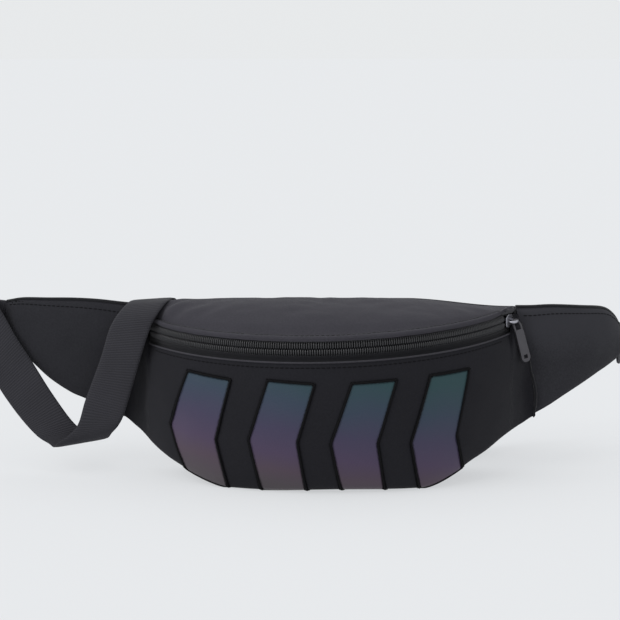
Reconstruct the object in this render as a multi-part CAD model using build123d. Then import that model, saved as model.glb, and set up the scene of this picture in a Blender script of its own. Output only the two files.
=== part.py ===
from build123d import *
import math
import os

# A half-moon waist bag lying on its flat base: a pouch with a curved zip under a half-moon
# top panel, two tapering wings, and a closed 25 mm webbing belt.
# Millimetres. +X is the wearer's left seen from the front of the bag, the front faces -Y,
# +Z is up, and the origin is the centre of the flat base.

# Pouch
BASE_HALF = 68.0            # half length of the flat base
KNEE = (108.0, 22.5)        # the underside bends here on its way out, x and z
SEAM_LOW = (137.5, 37.0)    # lower end of each wing seam, x and z
SEAM_TOP = (124.0, 112.0)   # upper end of each wing seam, x and z
FLANGE_Y = 28.0             # the pouch is no thinner than from here to its back
BACK_Y = 38.0               # outer face of the back panel
BASE_BACK_Y = 25.0          # back edge of the flat base
BACK_FOOT_Z = 14.0          # where the back panel ends and the base turns up
BASE_FRONT_Y = -28.0        # front edge of the flat base
BELLY = (-50.0, 52.0)       # fullest point of the front, y and z
SHOULDER = (-44.0, 90.0)    # front panel under the zip, y and z
ARC_CENTRE_Y = 94.0         # the pouch and the zip are arcs about this line
PLAN_R = 143.0              # radius of the pouch in plan
FABRIC = 1.0
FRONT_FOAM = 1.6
LINING = 0.6
BACK_FOAM = 4.0
BACK_THICK = FABRIC + BACK_FOAM + LINING
FAR = 200.0                 # past the bag's end, for the blocks that trim it

# Zip
ZIP_R = 136.0               # radius of the middle of the zip tape
ZIP_Z = 94.0                # height of the zip's centre line at the front
ZIP_TILT = 4.1              # degrees, the zip plane rises towards the back
ZIP_ROLL = 1.65             # degrees, and towards +X
FRONT_EDGE_Z = 87.0         # top edge of the front panel
TAPE = 0.7
COIL_DEPTH = 2.4
COIL_HEIGHT = 2.6
COIL_GAP = 0.5              # half the gap that the slider's post runs in
END_GAP = 0.25              # degrees between the moving coils and the fixed ends
TAPE_UPPER = 6.5            # reach of each tape above and below the centre line
TAPE_LOWER = 10.5
PARK_ANGLE = 59.6           # where the slider stands at each end of the zip
SLIDER_HALF_ANGLE = 2.55
ZIP_OPEN_ANGLE = 56.7       # the zip parts up to here on each side
ZIP_END_ANGLE = 62.6

# Slider and puller
SLIDER_HALF = 4.8
CHANNEL_HALF = 3.6
CHANNEL_DEPTH = 3.0
SLIDER_PLATE = 1.2
TAPE_SLOT_HALF = 0.65       # the tapes leave the slider through slots this deep
POST_HALF = 0.3             # half height of the post between its plates
POST_ANGLE = 1.2
BAIL_R = 143.6              # radius of the bail's bar, the puller's pivot
BAIL_WIRE = 0.9             # radius of the bar
BAIL_HALF = 4.4
PULLER_LEAN = 14.0
PULLER_LENGTH = 27.0
PULLER_WIDTH = 7.0
PULLER_THICK = 2.4
PIVOT_CLEARANCE = 0.08
EYE_WALL = 1.0
NECK_LENGTH = 6.0           # from the pivot down to the puller's tab

# Top panel
LID_R = 139.0
LID_EDGE_Z = 99.6
LID_CREST_Z = 119.5
LID_END_Z = 111.2
LID_BACK_Z = 115.0
RIM_TOP_Z = 104.0           # the top panel's vertical rim ends here
RIM_INNER_R = 114.0         # and its dome is full height inside this radius
HINGE_GAP = 0.6
BACK_TOP_Z = 111.0          # the back's layers end under the top panel
BACK_CORNER_X = 106.0       # and step down outside this half length
BACK_CORNER_Z = 103.0
BINDING_HALF = 108.0        # half length of the tape over the inner seam
BINDING_TALL = 10.0
BINDING_THICK = 1.2

# Wings
WING_START = 131.0
WING_MID_Y = 33.5
WING_HALF = 4.0
WING_LENGTH = 92.0
SEAM_GAP = 0.5

# Belt
WEBBING = 1.4
BELT_NEAR_Y = 52.0
BELT_FAR_Y = 78.0
BUCKLE_X = 4.0
KEEPER_X = 62.0

CHEVRONS = (-87.0, -35.0, 17.5, 66.5)   # x of the middle of each chevron's arm
CHEVRON_HALF = 14.2                     # half a chevron's width along X
CHEVRON_PROUD = 0.8
STITCH_PROUD = 1.1
STITCH_WIDTH = 1.4


def save(shape, name):
    os.makedirs("parts", exist_ok=True)
    export_step(shape, f"parts/{name}.step")


def outline(points):
    return make_face(Polyline(*points, close=True))


def along_x(face_yz, low, high):
    """Extrude a face drawn in (y, z) from x = low to x = high."""
    plane = Plane(origin=(low, 0, 0), x_dir=(0, 1, 0), z_dir=(1, 0, 0))
    return extrude(plane * face_yz, high - low)


def along_y(face_xz, low, high):
    """Extrude a face drawn in (x, z) from y = low to y = high."""
    plane = Plane(origin=(0, high, 0), x_dir=(1, 0, 0), z_dir=(0, -1, 0))
    return extrude(plane * face_xz, high - low)


def along_z(face_xy, low, high):
    return extrude(Plane.XY.offset(low) * face_xy, high - low)


def block(low, high):
    size = [h - l for l, h in zip(low, high)]
    return Pos(*low) * Box(*size, align=(Align.MIN, Align.MIN, Align.MIN))


def front_view(inset):
    top = SEAM_TOP[1]
    right = [(BASE_HALF, 0), KNEE, SEAM_LOW, SEAM_TOP]
    left = [(-x, z) for x, z in reversed(right)]
    face = outline(right + left)
    if inset:
        face = offset(face, -inset, kind=Kind.INTERSECTION)
    cap = Pos(0, top) * Rectangle(4 * PLAN_R, 2 * inset + 0.01)
    return face - cap if inset else face


def side_view(inset):
    front = ThreePointArc(SHOULDER, BELLY, (BASE_FRONT_Y, 0))
    rest = Polyline((BASE_FRONT_Y, 0), (BASE_BACK_Y, 0), (BACK_Y, BACK_FOOT_Z),
                    (BACK_Y, SEAM_TOP[1]), (SHOULDER[0], SEAM_TOP[1]), SHOULDER)
    face = make_face(front + rest)
    return offset(face, -inset, kind=Kind.INTERSECTION) if inset else face


def plan_view(inset):
    """A disc, with a straight flange at the back that the wings are sewn to."""
    disc = Pos(0, ARC_CENTRE_Y) * Circle(PLAN_R - inset)
    wide = 2 * (SEAM_LOW[0] + 0.5 - inset)
    deep = BACK_Y - FLANGE_Y - 2 * inset
    return disc + Pos(0, (BACK_Y + FLANGE_Y) / 2) * Rectangle(wide, deep)


def pouch(inset):
    """The solid pouch, drawn in by inset on every side."""
    body = along_y(front_view(inset), -80, BACK_Y - inset)
    body = body & along_x(side_view(inset), -160, 160)
    return body & along_z(plan_view(inset), -1, 130)


def tilt(shape):
    """Turn a shape made in the level zip plane into the tilted one."""
    pivot = (0, ARC_CENTRE_Y - ZIP_R, ZIP_Z)
    return Pos(*pivot) * Rot(X=ZIP_TILT) * Rot(Y=-ZIP_ROLL) * Pos(*[-v for v in pivot]) * shape


def ring(inner, outer, low, high, start=-90.0, end=90.0):
    """A sector of a flat ring about the zip's centre; angles are from the front, to +X."""
    first = math.radians(start - 90)
    last = math.radians(end - 90)
    middle = (first + last) / 2

    def at(radius, angle):
        return (radius * math.cos(angle), ARC_CENTRE_Y + radius * math.sin(angle))

    outer_arc = ThreePointArc(at(outer, first), at(outer, middle), at(outer, last))
    inner_arc = ThreePointArc(at(inner, last), at(inner, middle), at(inner, first))
    sides = Line(at(outer, last), at(inner, last)) + Line(at(inner, first), at(outer, first))
    return along_z(make_face(outer_arc + inner_arc + sides), low, high)


def below_zip(shape, z):
    """Keep what lies under the tilted plane at height z."""
    return shape - tilt(block((-FAR, -FAR, z), (FAR, FAR, z + FAR)))


def pouch_layer(outer_inset, inner_inset):
    shell = pouch(outer_inset) - pouch(inner_inset)
    shell = below_zip(shell, FRONT_EDGE_Z)
    behind = block((-FAR, BACK_Y - BACK_THICK, BACK_FOOT_Z), (FAR, BACK_Y + 1, FAR))
    return shell - behind


def make_front():
    panel = pouch_layer(0, FABRIC)
    lip = ring(ZIP_R + 1.0, PLAN_R, FRONT_EDGE_Z - FABRIC, FRONT_EDGE_Z)
    lip = tilt(lip) & pouch(0)
    lip = lip - block((-FAR, BACK_Y - BACK_THICK, 0), (FAR, BACK_Y + 1, FAR))
    save(panel + lip, "front_panel")
    foam_inner = FABRIC + FRONT_FOAM
    under_lip = FRONT_EDGE_Z - FABRIC
    save(below_zip(pouch_layer(FABRIC, foam_inner), under_lip), "front_foam")
    save(below_zip(pouch_layer(foam_inner, foam_inner + LINING), under_lip), "front_lining")


def back_layer(outer, thick):
    slab = along_y(front_view(0), outer - thick, outer)
    slab = slab & block((-FAR, -FAR, BACK_FOOT_Z), (FAR, FAR, BACK_TOP_Z))
    for low, high in ((-FAR, -BACK_CORNER_X), (BACK_CORNER_X, FAR)):
        slab = slab - block((low, -FAR, BACK_CORNER_Z), (high, FAR, FAR))
    return slab


def make_back():
    outer = BACK_Y
    for name, thick in (("back_panel", FABRIC), ("back_foam", BACK_FOAM), ("back_lining", LINING)):
        save(back_layer(outer, thick), name)
        outer -= thick


def chevron(x, grow):
    """One '<' band, drawn in (x, z); its point is to -X at mid height."""
    reach = CHEVRON_HALF + grow
    top = 74.0 + grow
    foot = 1.6 if grow else 2.6
    middle = [(x + 10.0, top), (x - 2.0, 34.0), (x + 6.5, foot)]
    right = [(a + reach, z) for a, z in middle]
    left = [(a - reach, z) for a, z in reversed(middle)]
    return outline(right + left)


def make_chevrons():
    front_half = block((-FAR, -FAR, 0), (FAR, 6, FAR))
    patch_skin = (pouch(-CHEVRON_PROUD) - pouch(0)) & front_half
    stitch_skin = (pouch(-STITCH_PROUD) - pouch(0)) & front_half
    for number, x in enumerate(CHEVRONS, start=1):
        inner = along_y(chevron(x, 0), -90, 20)
        outer = along_y(chevron(x, STITCH_WIDTH), -90, 20)
        save(patch_skin & inner, f"chevron_panel_{number}")
        save(stitch_skin & (outer - inner), f"chevron_stitching_{number}")


def make_zip():
    low_coil = (ZIP_Z - COIL_GAP - COIL_HEIGHT, ZIP_Z - COIL_GAP)
    high_coil = (ZIP_Z + COIL_GAP, ZIP_Z + COIL_GAP + COIL_HEIGHT)
    coil = (ZIP_R - COIL_DEPTH / 2, ZIP_R + COIL_DEPTH / 2)
    tape = (ZIP_R - TAPE / 2, ZIP_R + TAPE / 2)
    opening = (-ZIP_OPEN_ANGLE, ZIP_OPEN_ANGLE)
    whole = (-ZIP_END_ANGLE, ZIP_END_ANGLE)
    save(tilt(ring(*coil, *high_coil, *opening)), "zip_coil_upper")
    save(tilt(ring(*coil, *low_coil, *opening)), "zip_coil_lower")
    save(tilt(ring(*tape, high_coil[1], ZIP_Z + TAPE_UPPER, *opening)), "zip_tape_upper")
    save(tilt(ring(*tape, ZIP_Z - TAPE_LOWER, low_coil[0], *whole)), "zip_tape_lower")
    inner_end = ZIP_OPEN_ANGLE + END_GAP
    for name, start, end in (("zip_end_right", inner_end, ZIP_END_ANGLE),
                             ("zip_end_left", -ZIP_END_ANGLE, -inner_end)):
        stub = ring(*coil, *high_coil, start, end) + ring(*coil, *low_coil, start, end)
        upper = ring(*tape, high_coil[1], ZIP_Z + TAPE_UPPER, start, end)
        save(tilt(stub + upper), name)


def pivot_plane():
    """The plane at the puller's pivot: x along the zip, z away from the bag."""
    angle = math.radians(PARK_ANGLE)
    outward = Vector(math.sin(angle), -math.cos(angle), 0)
    along = Vector(math.cos(angle), math.sin(angle), 0)
    return Plane(origin=Vector(0, ARC_CENTRE_Y, ZIP_Z) + outward * BAIL_R, x_dir=along, z_dir=outward)


def make_slider():
    start, end = PARK_ANGLE - SLIDER_HALF_ANGLE, PARK_ANGLE + SLIDER_HALF_ANGLE
    depth = CHANNEL_DEPTH / 2 + SLIDER_PLATE
    body = ring(ZIP_R - depth, ZIP_R + depth, ZIP_Z - SLIDER_HALF, ZIP_Z + SLIDER_HALF, start, end)
    channel = ring(ZIP_R - CHANNEL_DEPTH / 2, ZIP_R + CHANNEL_DEPTH / 2,
                   ZIP_Z - CHANNEL_HALF, ZIP_Z + CHANNEL_HALF, start - 1, end + 1)
    slots = ring(ZIP_R - TAPE_SLOT_HALF, ZIP_R + TAPE_SLOT_HALF,
                 ZIP_Z - SLIDER_HALF - 1, ZIP_Z + SLIDER_HALF + 1, start - 1, end + 1)
    post = ring(ZIP_R - CHANNEL_DEPTH / 2, ZIP_R + CHANNEL_DEPTH / 2,
                ZIP_Z - POST_HALF, ZIP_Z + POST_HALF, end - POST_ANGLE, end)
    save(tilt(body - channel - slots + post), "zip_slider")
    plane = pivot_plane()
    bar = plane * Rot(Y=90) * Cylinder(BAIL_WIRE, 2 * BAIL_HALF + 0.3)
    leg_length = BAIL_R - (ZIP_R + depth) + 0.3
    legs = []
    for side in (-1, 1):
        leg = Pos(side * (BAIL_HALF - BAIL_WIRE), 0, -leg_length / 2)
        legs.append(plane * leg * Cylinder(BAIL_WIRE, leg_length))
    bail = bar + legs[0] + legs[1]
    save(tilt(bail - body), "slider_bail")
    save(tilt(make_puller(plane)), "puller")


def make_puller(plane):
    """The puller hangs from the bail's bar and leans out by PULLER_LEAN."""
    eye_r = BAIL_WIRE + PIVOT_CLEARANCE
    eye = Rot(Y=90) * Cylinder(eye_r + EYE_WALL, 5.0)
    hole = Rot(Y=90) * Cylinder(eye_r, 12.0)
    neck = Pos(0, -3.6, 0) * Box(4.6, 5.2, 1.9)
    tab_length = PULLER_LENGTH - NECK_LENGTH
    tab = Pos(0, -NECK_LENGTH - tab_length / 2, 0) * Box(PULLER_WIDTH, tab_length, PULLER_THICK)
    tab = fillet(tab.edges().filter_by(Axis.Z), 2.2)
    window = Pos(0, -PULLER_LENGTH + 4.0, 0) * Box(2.4, 3.0, 10.0)
    shape = eye + neck + tab - window - hole
    return plane * Rot(X=-PULLER_LEAN) * shape


def lid_rim(inset):
    """A round block about the zip's centre whose shoulder falls to the zip all the way round."""
    top = LID_CREST_Z + 2.0
    shoulder = ThreePointArc((LID_R - inset, RIM_TOP_Z - inset / 2),
                             (LID_R - 7.0 - inset, RIM_TOP_Z + 8.6 - inset),
                             (RIM_INNER_R, top - 1.4 * inset))
    rest = Polyline((RIM_INNER_R, top - 1.4 * inset), (0, top - 1.4 * inset), (0, 80),
                    (LID_R - inset, 80), (LID_R - inset, RIM_TOP_Z - inset / 2))
    rim = revolve(Plane.XZ * make_face(shoulder + rest), Axis.Z)
    return tilt(Pos(0, ARC_CENTRE_Y, 0) * rim)


def lid_solid(inset):
    side = Polyline((-60, LID_EDGE_Z), (BACK_Y - HINGE_GAP, LID_EDGE_Z),
                    (BACK_Y - HINGE_GAP, LID_BACK_Z - inset))
    crest = ThreePointArc((BACK_Y - HINGE_GAP, LID_BACK_Z - inset), (5, LID_CREST_Z - inset),
                          (-46 + inset, LID_EDGE_Z + 5.0))
    close = Polyline((-46 + inset, LID_EDGE_Z + 5.0), (-60, LID_EDGE_Z))
    half = SEAM_TOP[0] - inset
    arch = ThreePointArc((-half, LID_END_Z - inset), (0, LID_CREST_Z + 0.5 - inset),
                         (half, LID_END_Z - inset))
    sides = Polyline((half, LID_END_Z - inset), (half, 90), (-half, 90), (-half, LID_END_Z - inset))
    body = along_x(make_face(side + crest + close), -160, 160)
    body = body & along_y(make_face(arch + sides), -90, 60)
    return body & lid_rim(inset)


def make_lid():
    under = tilt(block((-FAR, -FAR, 0), (FAR, FAR, LID_EDGE_Z)))
    outer = lid_solid(0) - under
    middle = lid_solid(FABRIC) - under
    inner = lid_solid(FABRIC + LINING) - under
    cut = block((-FAR, BACK_Y - 8, 0), (FAR, BACK_Y + 5, BACK_CORNER_Z + 0.5))
    for start, end in ((ZIP_OPEN_ANGLE - 0.3, 80), (-80, 0.3 - ZIP_OPEN_ANGLE)):
        cut = cut + tilt(ring(LID_R - 25, LID_R + 10, 80, ZIP_Z + TAPE_UPPER + 0.6, start, end))
    lip = tilt(ring(ZIP_R + 0.6, LID_R - FABRIC / 2, LID_EDGE_Z, LID_EDGE_Z + FABRIC,
                    -ZIP_OPEN_ANGLE, ZIP_OPEN_ANGLE))
    save(outer - middle - cut + (lip - cut), "top_panel")
    save(middle - inner - cut - lip, "top_lining")


def wing_plan(side, start_deg, end_deg, inner, outer):
    """A bent band in plan, from the seam to the tip, curling back towards +Y."""
    radius = WING_LENGTH / math.radians(end_deg - start_deg)
    start = math.radians(start_deg)
    centre_x = WING_START - radius * math.sin(start)
    centre_y = WING_MID_Y + radius * math.cos(start)

    def at(offset_r, degrees):
        angle = math.radians(degrees)
        x = centre_x + (radius + offset_r) * math.sin(angle)
        y = centre_y - (radius + offset_r) * math.cos(angle)
        return (side * x, y)

    early = start_deg - math.degrees(14.0 / radius)
    middle = (early + end_deg) / 2
    front = ThreePointArc(at(outer, early), at(outer, middle), at(outer, end_deg))
    back = ThreePointArc(at(inner, end_deg), at(inner, middle), at(inner, early))
    ends = Line(at(outer, end_deg), at(inner, end_deg)) + Line(at(inner, early), at(outer, early))
    return make_face(front + back + ends)


LEFT_WING = {
    "side": -1, "start": 5.0, "end": 25.0,
    "low": [(165, 47.5), (175, 51.5), (189, 60), (200, 69.6), (212, 81)],
    "tip": [(224, 86), (224, 111.5)],
    "top": [(208, 113.2), (165, 114), (137, 112)],
}
RIGHT_WING = {
    "side": 1, "start": 10.0, "end": 60.0,
    "low": [(160, 49), (181, 60), (196, 67)],
    "tip": [(208, 72), (203.5, 83), (201.5, 91), (196, 99.5), (187, 105.5)],
    "top": [(150, 110.4)],
}


def make_wing(name, wing):
    side = wing["side"]
    gap = SEAM_GAP
    points = [(SEAM_LOW[0] + gap, SEAM_LOW[1])] + wing["low"] + wing["tip"] + wing["top"]
    points.append((SEAM_TOP[0] + gap + 0.2, SEAM_TOP[1] - 1.0))
    height = along_y(outline([(side * x, z) for x, z in points]), 0, 150)
    foam = WING_HALF - FABRIC
    layers = (("front", foam, WING_HALF), ("foam", -foam, foam), ("back", -WING_HALF, -foam))
    for layer, inner, outer in layers:
        band = along_z(wing_plan(side, wing["start"], wing["end"], inner, outer), 20, 130)
        save(band & height, f"{name}_{layer}")


def triangle(a, b, c):
    return Face(Wire.make_polygon([a, b, c], close=True))


def ribbon(sections, thickness=WEBBING):
    """A flat strap through sections, each the two ends of a line across its width."""
    firsts = [Vector(*pair[0]) for pair in sections]
    seconds = [Vector(*pair[1]) for pair in sections]
    middles = [(a + b) * 0.5 for a, b in zip(firsts, seconds)]
    count = len(sections)
    rings = []
    for i in range(count):
        heading = middles[min(i + 1, count - 1)] - middles[max(i - 1, 0)]
        normal = heading.cross(seconds[i] - firsts[i]).normalized() * (thickness / 2)
        rings.append([firsts[i] + normal, seconds[i] + normal,
                      seconds[i] - normal, firsts[i] - normal])
    faces = []
    for before, after in zip(rings, rings[1:]):
        for k in range(4):
            m = (k + 1) % 4
            faces.append(triangle(before[k], before[m], after[m]))
            faces.append(triangle(before[k], after[m], after[k]))
    for end in (rings[0], rings[-1]):
        faces.append(triangle(end[0], end[1], end[2]))
        faces.append(triangle(end[0], end[2], end[3]))
    solid = Solid(Shell(faces))
    return solid if solid.volume > 0 else -solid


# The belt's left stretch: from the left wing's tip, out of a diagonal fold, down to a soft
# fold, up over the top seam, slanting down the back, and along the floor to the buckle.
BELT_LEFT = [
    ((-220.5, 58.5, 111.5), (-220.5, 58.5, 86.5)),
    ((-226.0, 57.5, 112.0), (-238.0, 59.5, 87.0)),
    ((-228.0, 54.0, 112.5), (-241.5, 56.0, 86.5)),
    ((-226.0, 50.5, 111.0), (-240.0, 52.0, 83.5)),
    ((-219.5, 47.5, 101.5), (-238.0, 50.0, 79.0)),
    ((-211.5, 44.0, 88.0), (-231.5, 46.5, 67.0)),
    ((-199.6, 40.0, 70.5), (-221.5, 42.0, 50.5)),
    ((-186.0, 34.0, 50.5), (-208.5, 36.5, 34.0)),
    ((-170.5, 27.5, 31.5), (-196.5, 29.5, 23.0)),
    ((-157.0, 23.0, 24.5), (-188.0, 24.0, 19.0)),
    ((-148.5, 18.5, 24.0), (-184.0, 20.0, 17.5)),
    ((-144.5, 14.0, 28.5), (-180.5, 16.0, 21.0)),
    ((-139.5, 11.0, 34.5), (-168.0, 15.5, 32.3)),
    ((-135.0, 11.0, 44.6), (-161.8, 16.0, 50.7)),
    ((-124.8, 11.0, 78.7), (-152.0, 18.5, 77.0)),
    ((-118.0, 12.0, 99.5), (-146.5, 22.0, 95.5)),
    ((-113.5, 13.0, 109.5), (-142.0, 24.5, 106.0)),
    ((-108.5, 20.5, 116.4), (-137.0, 29.0, 113.8)),
    ((-105.5, 30.0, 116.8), (-134.0, 34.0, 115.6)),
    ((-103.5, 38.0, 116.8), (-132.5, 40.0, 115.8)),
    ((-101.5, 43.0, 112.5), (-130.0, 43.5, 110.0)),
    ((-97.0, 44.0, 100.0), (-124.5, 44.0, 100.0)),
    ((-81.0, 43.5, 60.0), (-108.5, 43.5, 60.0)),
    ((-61.0, 43.0, 10.0), (-88.5, 43.0, 10.0)),
    ((-58.0, 46.0, 2.5), (-86.0, 46.0, 2.5)),
    ((-55.5, 51.0, 1.1), (-83.5, 51.0, 1.1)),
    ((-44.5, BELT_FAR_Y, 1.1), (-83.0, BELT_NEAR_Y, 1.1)),
    ((-45.5, BELT_FAR_Y + 0.6, 2.2), (-84.0, BELT_NEAR_Y + 0.6, 2.2)),
    ((-42.5, BELT_FAR_Y, 3.3), (-81.0, BELT_NEAR_Y, 3.3)),
    ((-36.0, BELT_FAR_Y, 3.4), (-36.0, BELT_NEAR_Y, 3.4)),
    ((-26.0, BELT_FAR_Y - 0.5, 1.6), (-26.0, BELT_NEAR_Y + 0.5, 1.6)),
    ((-20.0, BELT_FAR_Y - 0.5, 4.7), (-20.0, BELT_NEAR_Y + 0.5, 4.7)),
    ((-12.6, BELT_FAR_Y - 0.5, 4.7), (-12.6, BELT_NEAR_Y + 0.5, 4.7)),
    ((-10.3, BELT_FAR_Y - 0.5, 3.4), (-10.3, BELT_NEAR_Y + 0.5, 3.4)),
    ((-10.2, BELT_FAR_Y - 0.5, 0.9), (-10.2, BELT_NEAR_Y + 0.5, 0.9)),
]

# The belt's right stretch: from the buckle along the floor, then rising and turning on
# edge to the right wing's tip.
BELT_RIGHT = [
    ((41.0, BELT_FAR_Y - 0.5, 4.1), (41.0, BELT_NEAR_Y + 0.5, 4.1)),
    ((47.0, BELT_FAR_Y - 0.5, 4.1), (47.0, BELT_NEAR_Y + 0.5, 4.1)),
    ((57.0, BELT_FAR_Y - 0.5, 2.4), (57.0, BELT_NEAR_Y + 0.5, 2.4)),
    ((80.0, BELT_FAR_Y, 2.2), (80.0, BELT_NEAR_Y + 0.8, 2.2)),
    ((90.0, 84.0, 3.6), (88.0, 59.5, 8.0)),
    ((101.0, 92.0, 9.5), (96.5, 69.5, 19.0)),
    ((113.0, 101.0, 19.5), (104.5, 83.5, 35.5)),
    ((127.0, 110.0, 33.5), (117.5, 98.5, 53.0)),
    ((143.0, 117.0, 47.0), (135.0, 110.5, 70.5)),
    ((162.0, 121.5, 57.5), (156.5, 118.5, 82.0)),
    ((180.0, 122.0, 65.0), (177.0, 120.0, 90.0)),
    ((196.0, 117.5, 66.5), (194.5, 116.5, 91.5)),
    ((205.0, 109.0, 65.0), (204.5, 108.0, 90.0)),
    ((206.5, 99.0, 63.5), (206.5, 98.5, 88.5)),
    ((205.6, 91.0, 63.0), (205.6, 91.0, 88.0)),
    ((204.5, 85.4, 63.0), (204.5, 85.4, 88.0)),
]

# The belt's loose end, doubled back over its right stretch.
BELT_TAIL = [
    ((41.0, BELT_FAR_Y - 0.5, 6.4), (41.0, BELT_NEAR_Y + 0.5, 6.4)),
    ((48.0, BELT_FAR_Y - 0.5, 6.4), (48.0, BELT_NEAR_Y + 0.5, 6.4)),
    ((58.0, BELT_FAR_Y - 0.5, 4.8), (58.0, BELT_NEAR_Y + 0.5, 4.8)),
    ((74.0, BELT_FAR_Y - 0.5, 4.4), (74.0, BELT_NEAR_Y + 0.5, 4.4)),
    ((82.0, BELT_FAR_Y - 0.5, 6.6), (82.0, BELT_NEAR_Y + 0.5, 6.6)),
]


def make_belt():
    save(ribbon(BELT_LEFT), "belt_left")
    save(ribbon(BELT_RIGHT), "belt_right")
    save(ribbon(BELT_TAIL), "belt_tail")


def make_buckle():
    mid_y = (BELT_NEAR_Y + BELT_FAR_Y) / 2
    at = Pos(BUCKLE_X, mid_y, 0)
    low = (Align.CENTER, Align.CENTER, Align.MIN)
    shell = Box(44.0, 33.0, 9.0, align=low)
    shell = fillet(shell.edges().filter_by(Axis.Z), 4.0)
    socket = Pos(9.0, 0, 1.7) * Box(27.0, 27.0, 5.6, align=low)
    sides = Pos(4.0, 0, 1.7) * Box(9.0, 60.0, 5.6, align=low)
    slot = Pos(-14.5, 0, -1) * Box(4.0, 27.0, 20.0, align=low)
    recess = Pos(-20.0, 0, 3.8) * Box(9.0, 27.0, 10.0, align=low)
    save(at * (shell - socket - sides - slot - recess), "buckle_female")

    plate = Pos(31.0, 0, 0) * Box(17.0, 33.0, 9.0, align=low)
    plate = fillet(plate.edges().filter_by(Axis.Z), 3.5)
    tongue = Pos(14.3, 0, 2.9) * Box(17.0, 4.0, 3.2, align=low)
    ladder = Pos(34.5, 0, -1) * Box(3.6, 27.0, 20.0, align=low)
    exit_cut = Pos(39.0, 0, 3.2) * Box(6.0, 27.0, 10.0, align=low)
    entry = Pos(28.0, 0, -1) * Box(3.0, 27.0, 20.0, align=low)
    save(at * (plate + tongue - ladder - exit_cut - entry), "buckle_male")
    for name, side in (("buckle_arm_front", -1), ("buckle_arm_rear", 1)):
        arm = Pos(14.0, side * 10.6, 2.7) * Box(17.0, 3.0, 3.6, align=low)
        barb = Pos(4.0, side * 12.9, 2.7) * Box(6.4, 4.6, 3.6, align=low)
        save(at * (arm + barb), name)

    outer = Pos(KEEPER_X, mid_y, 0.1) * Box(8.0, 31.0, 7.2, align=low)
    inner = Pos(KEEPER_X, mid_y, 1.0) * Box(12.0, 28.6, 5.4, align=low)
    save(outer - inner, "belt_keeper")


def make_binding():
    """Binding tape that closes the seam allowance inside, along the back of the pouch."""
    y = BACK_Y - BACK_THICK
    low = (-BINDING_HALF, y - BINDING_THICK, BACK_CORNER_Z - BINDING_TALL)
    save(block(low, (BINDING_HALF, y, BACK_CORNER_Z)), "seam_binding")


def main():
    make_front()
    make_back()
    make_chevrons()
    make_zip()
    make_slider()
    make_lid()
    make_wing("wing_left", LEFT_WING)
    make_wing("wing_right", RIGHT_WING)
    make_belt()
    make_buckle()
    make_binding()


main()
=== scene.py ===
import math

import bpy
import numpy as np
from mathutils import Matrix, Vector, noise


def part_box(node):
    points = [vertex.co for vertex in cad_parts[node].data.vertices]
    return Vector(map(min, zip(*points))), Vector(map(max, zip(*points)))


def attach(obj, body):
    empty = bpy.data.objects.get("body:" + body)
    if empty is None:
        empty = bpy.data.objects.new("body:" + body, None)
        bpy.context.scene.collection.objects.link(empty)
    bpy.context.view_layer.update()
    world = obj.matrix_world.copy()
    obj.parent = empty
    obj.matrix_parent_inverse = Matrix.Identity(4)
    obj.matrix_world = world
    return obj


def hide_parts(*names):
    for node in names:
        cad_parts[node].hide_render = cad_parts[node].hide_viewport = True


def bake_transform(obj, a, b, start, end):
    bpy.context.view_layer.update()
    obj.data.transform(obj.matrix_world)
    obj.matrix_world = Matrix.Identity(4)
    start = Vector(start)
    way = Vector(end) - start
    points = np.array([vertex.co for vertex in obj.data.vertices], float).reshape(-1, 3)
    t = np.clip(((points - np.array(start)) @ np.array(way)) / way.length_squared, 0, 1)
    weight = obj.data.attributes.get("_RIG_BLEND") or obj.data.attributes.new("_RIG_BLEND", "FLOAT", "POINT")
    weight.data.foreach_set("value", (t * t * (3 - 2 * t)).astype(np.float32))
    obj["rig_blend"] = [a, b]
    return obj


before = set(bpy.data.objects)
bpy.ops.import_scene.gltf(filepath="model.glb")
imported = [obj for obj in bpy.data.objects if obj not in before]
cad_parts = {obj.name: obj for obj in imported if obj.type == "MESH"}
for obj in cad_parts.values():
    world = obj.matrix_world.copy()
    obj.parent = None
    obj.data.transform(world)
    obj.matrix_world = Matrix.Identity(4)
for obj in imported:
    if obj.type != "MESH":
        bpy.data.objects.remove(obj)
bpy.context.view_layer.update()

MM = 0.001                          # shapes are worked out in millimetres


def node_box(name):
    low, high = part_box(name)
    return np.array(low) / MM, np.array(high) / MM


# ---------------------------------------------------------------- main sizes
BACK_HIGH = node_box("back_panel")[1]
TAPE_LOW, TAPE_HIGH = node_box("zip_tape_lower")
BACK_Y = BACK_HIGH[1]
HALF_WIDE = BACK_HIGH[0]                       # half width at the foot of the wing seams
HALF_TOP = node_box("top_panel")[1][0]         # half width at their top
SEAM_FOOT_Z, SEAM_TOP_Z = 37.5, 112.0          # the wing seams' lowest and highest points
SAGITTA = TAPE_HIGH[1] - TAPE_LOW[1]
ZIP_R = (TAPE_HIGH[0] ** 2 + SAGITTA ** 2) / (2 * SAGITTA)
ARC_Y = TAPE_LOW[1] + ZIP_R                    # the zip and the pouch are arcs about this line
ZIP_TILT = math.tan(math.radians(4.1))         # the zip rises towards the back
ZIP_ROLL = math.tan(math.radians(1.65))        # and towards +X
ZIP_Z = 94.0                                   # the zip's centre line at the front
ZIP_END = 62.0                                 # degrees from the front to each end of the tapes
TEETH_END = 60.0                               # and to each end of the coils
PARK_ANGLE = 59.6                              # where the slider stands


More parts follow.
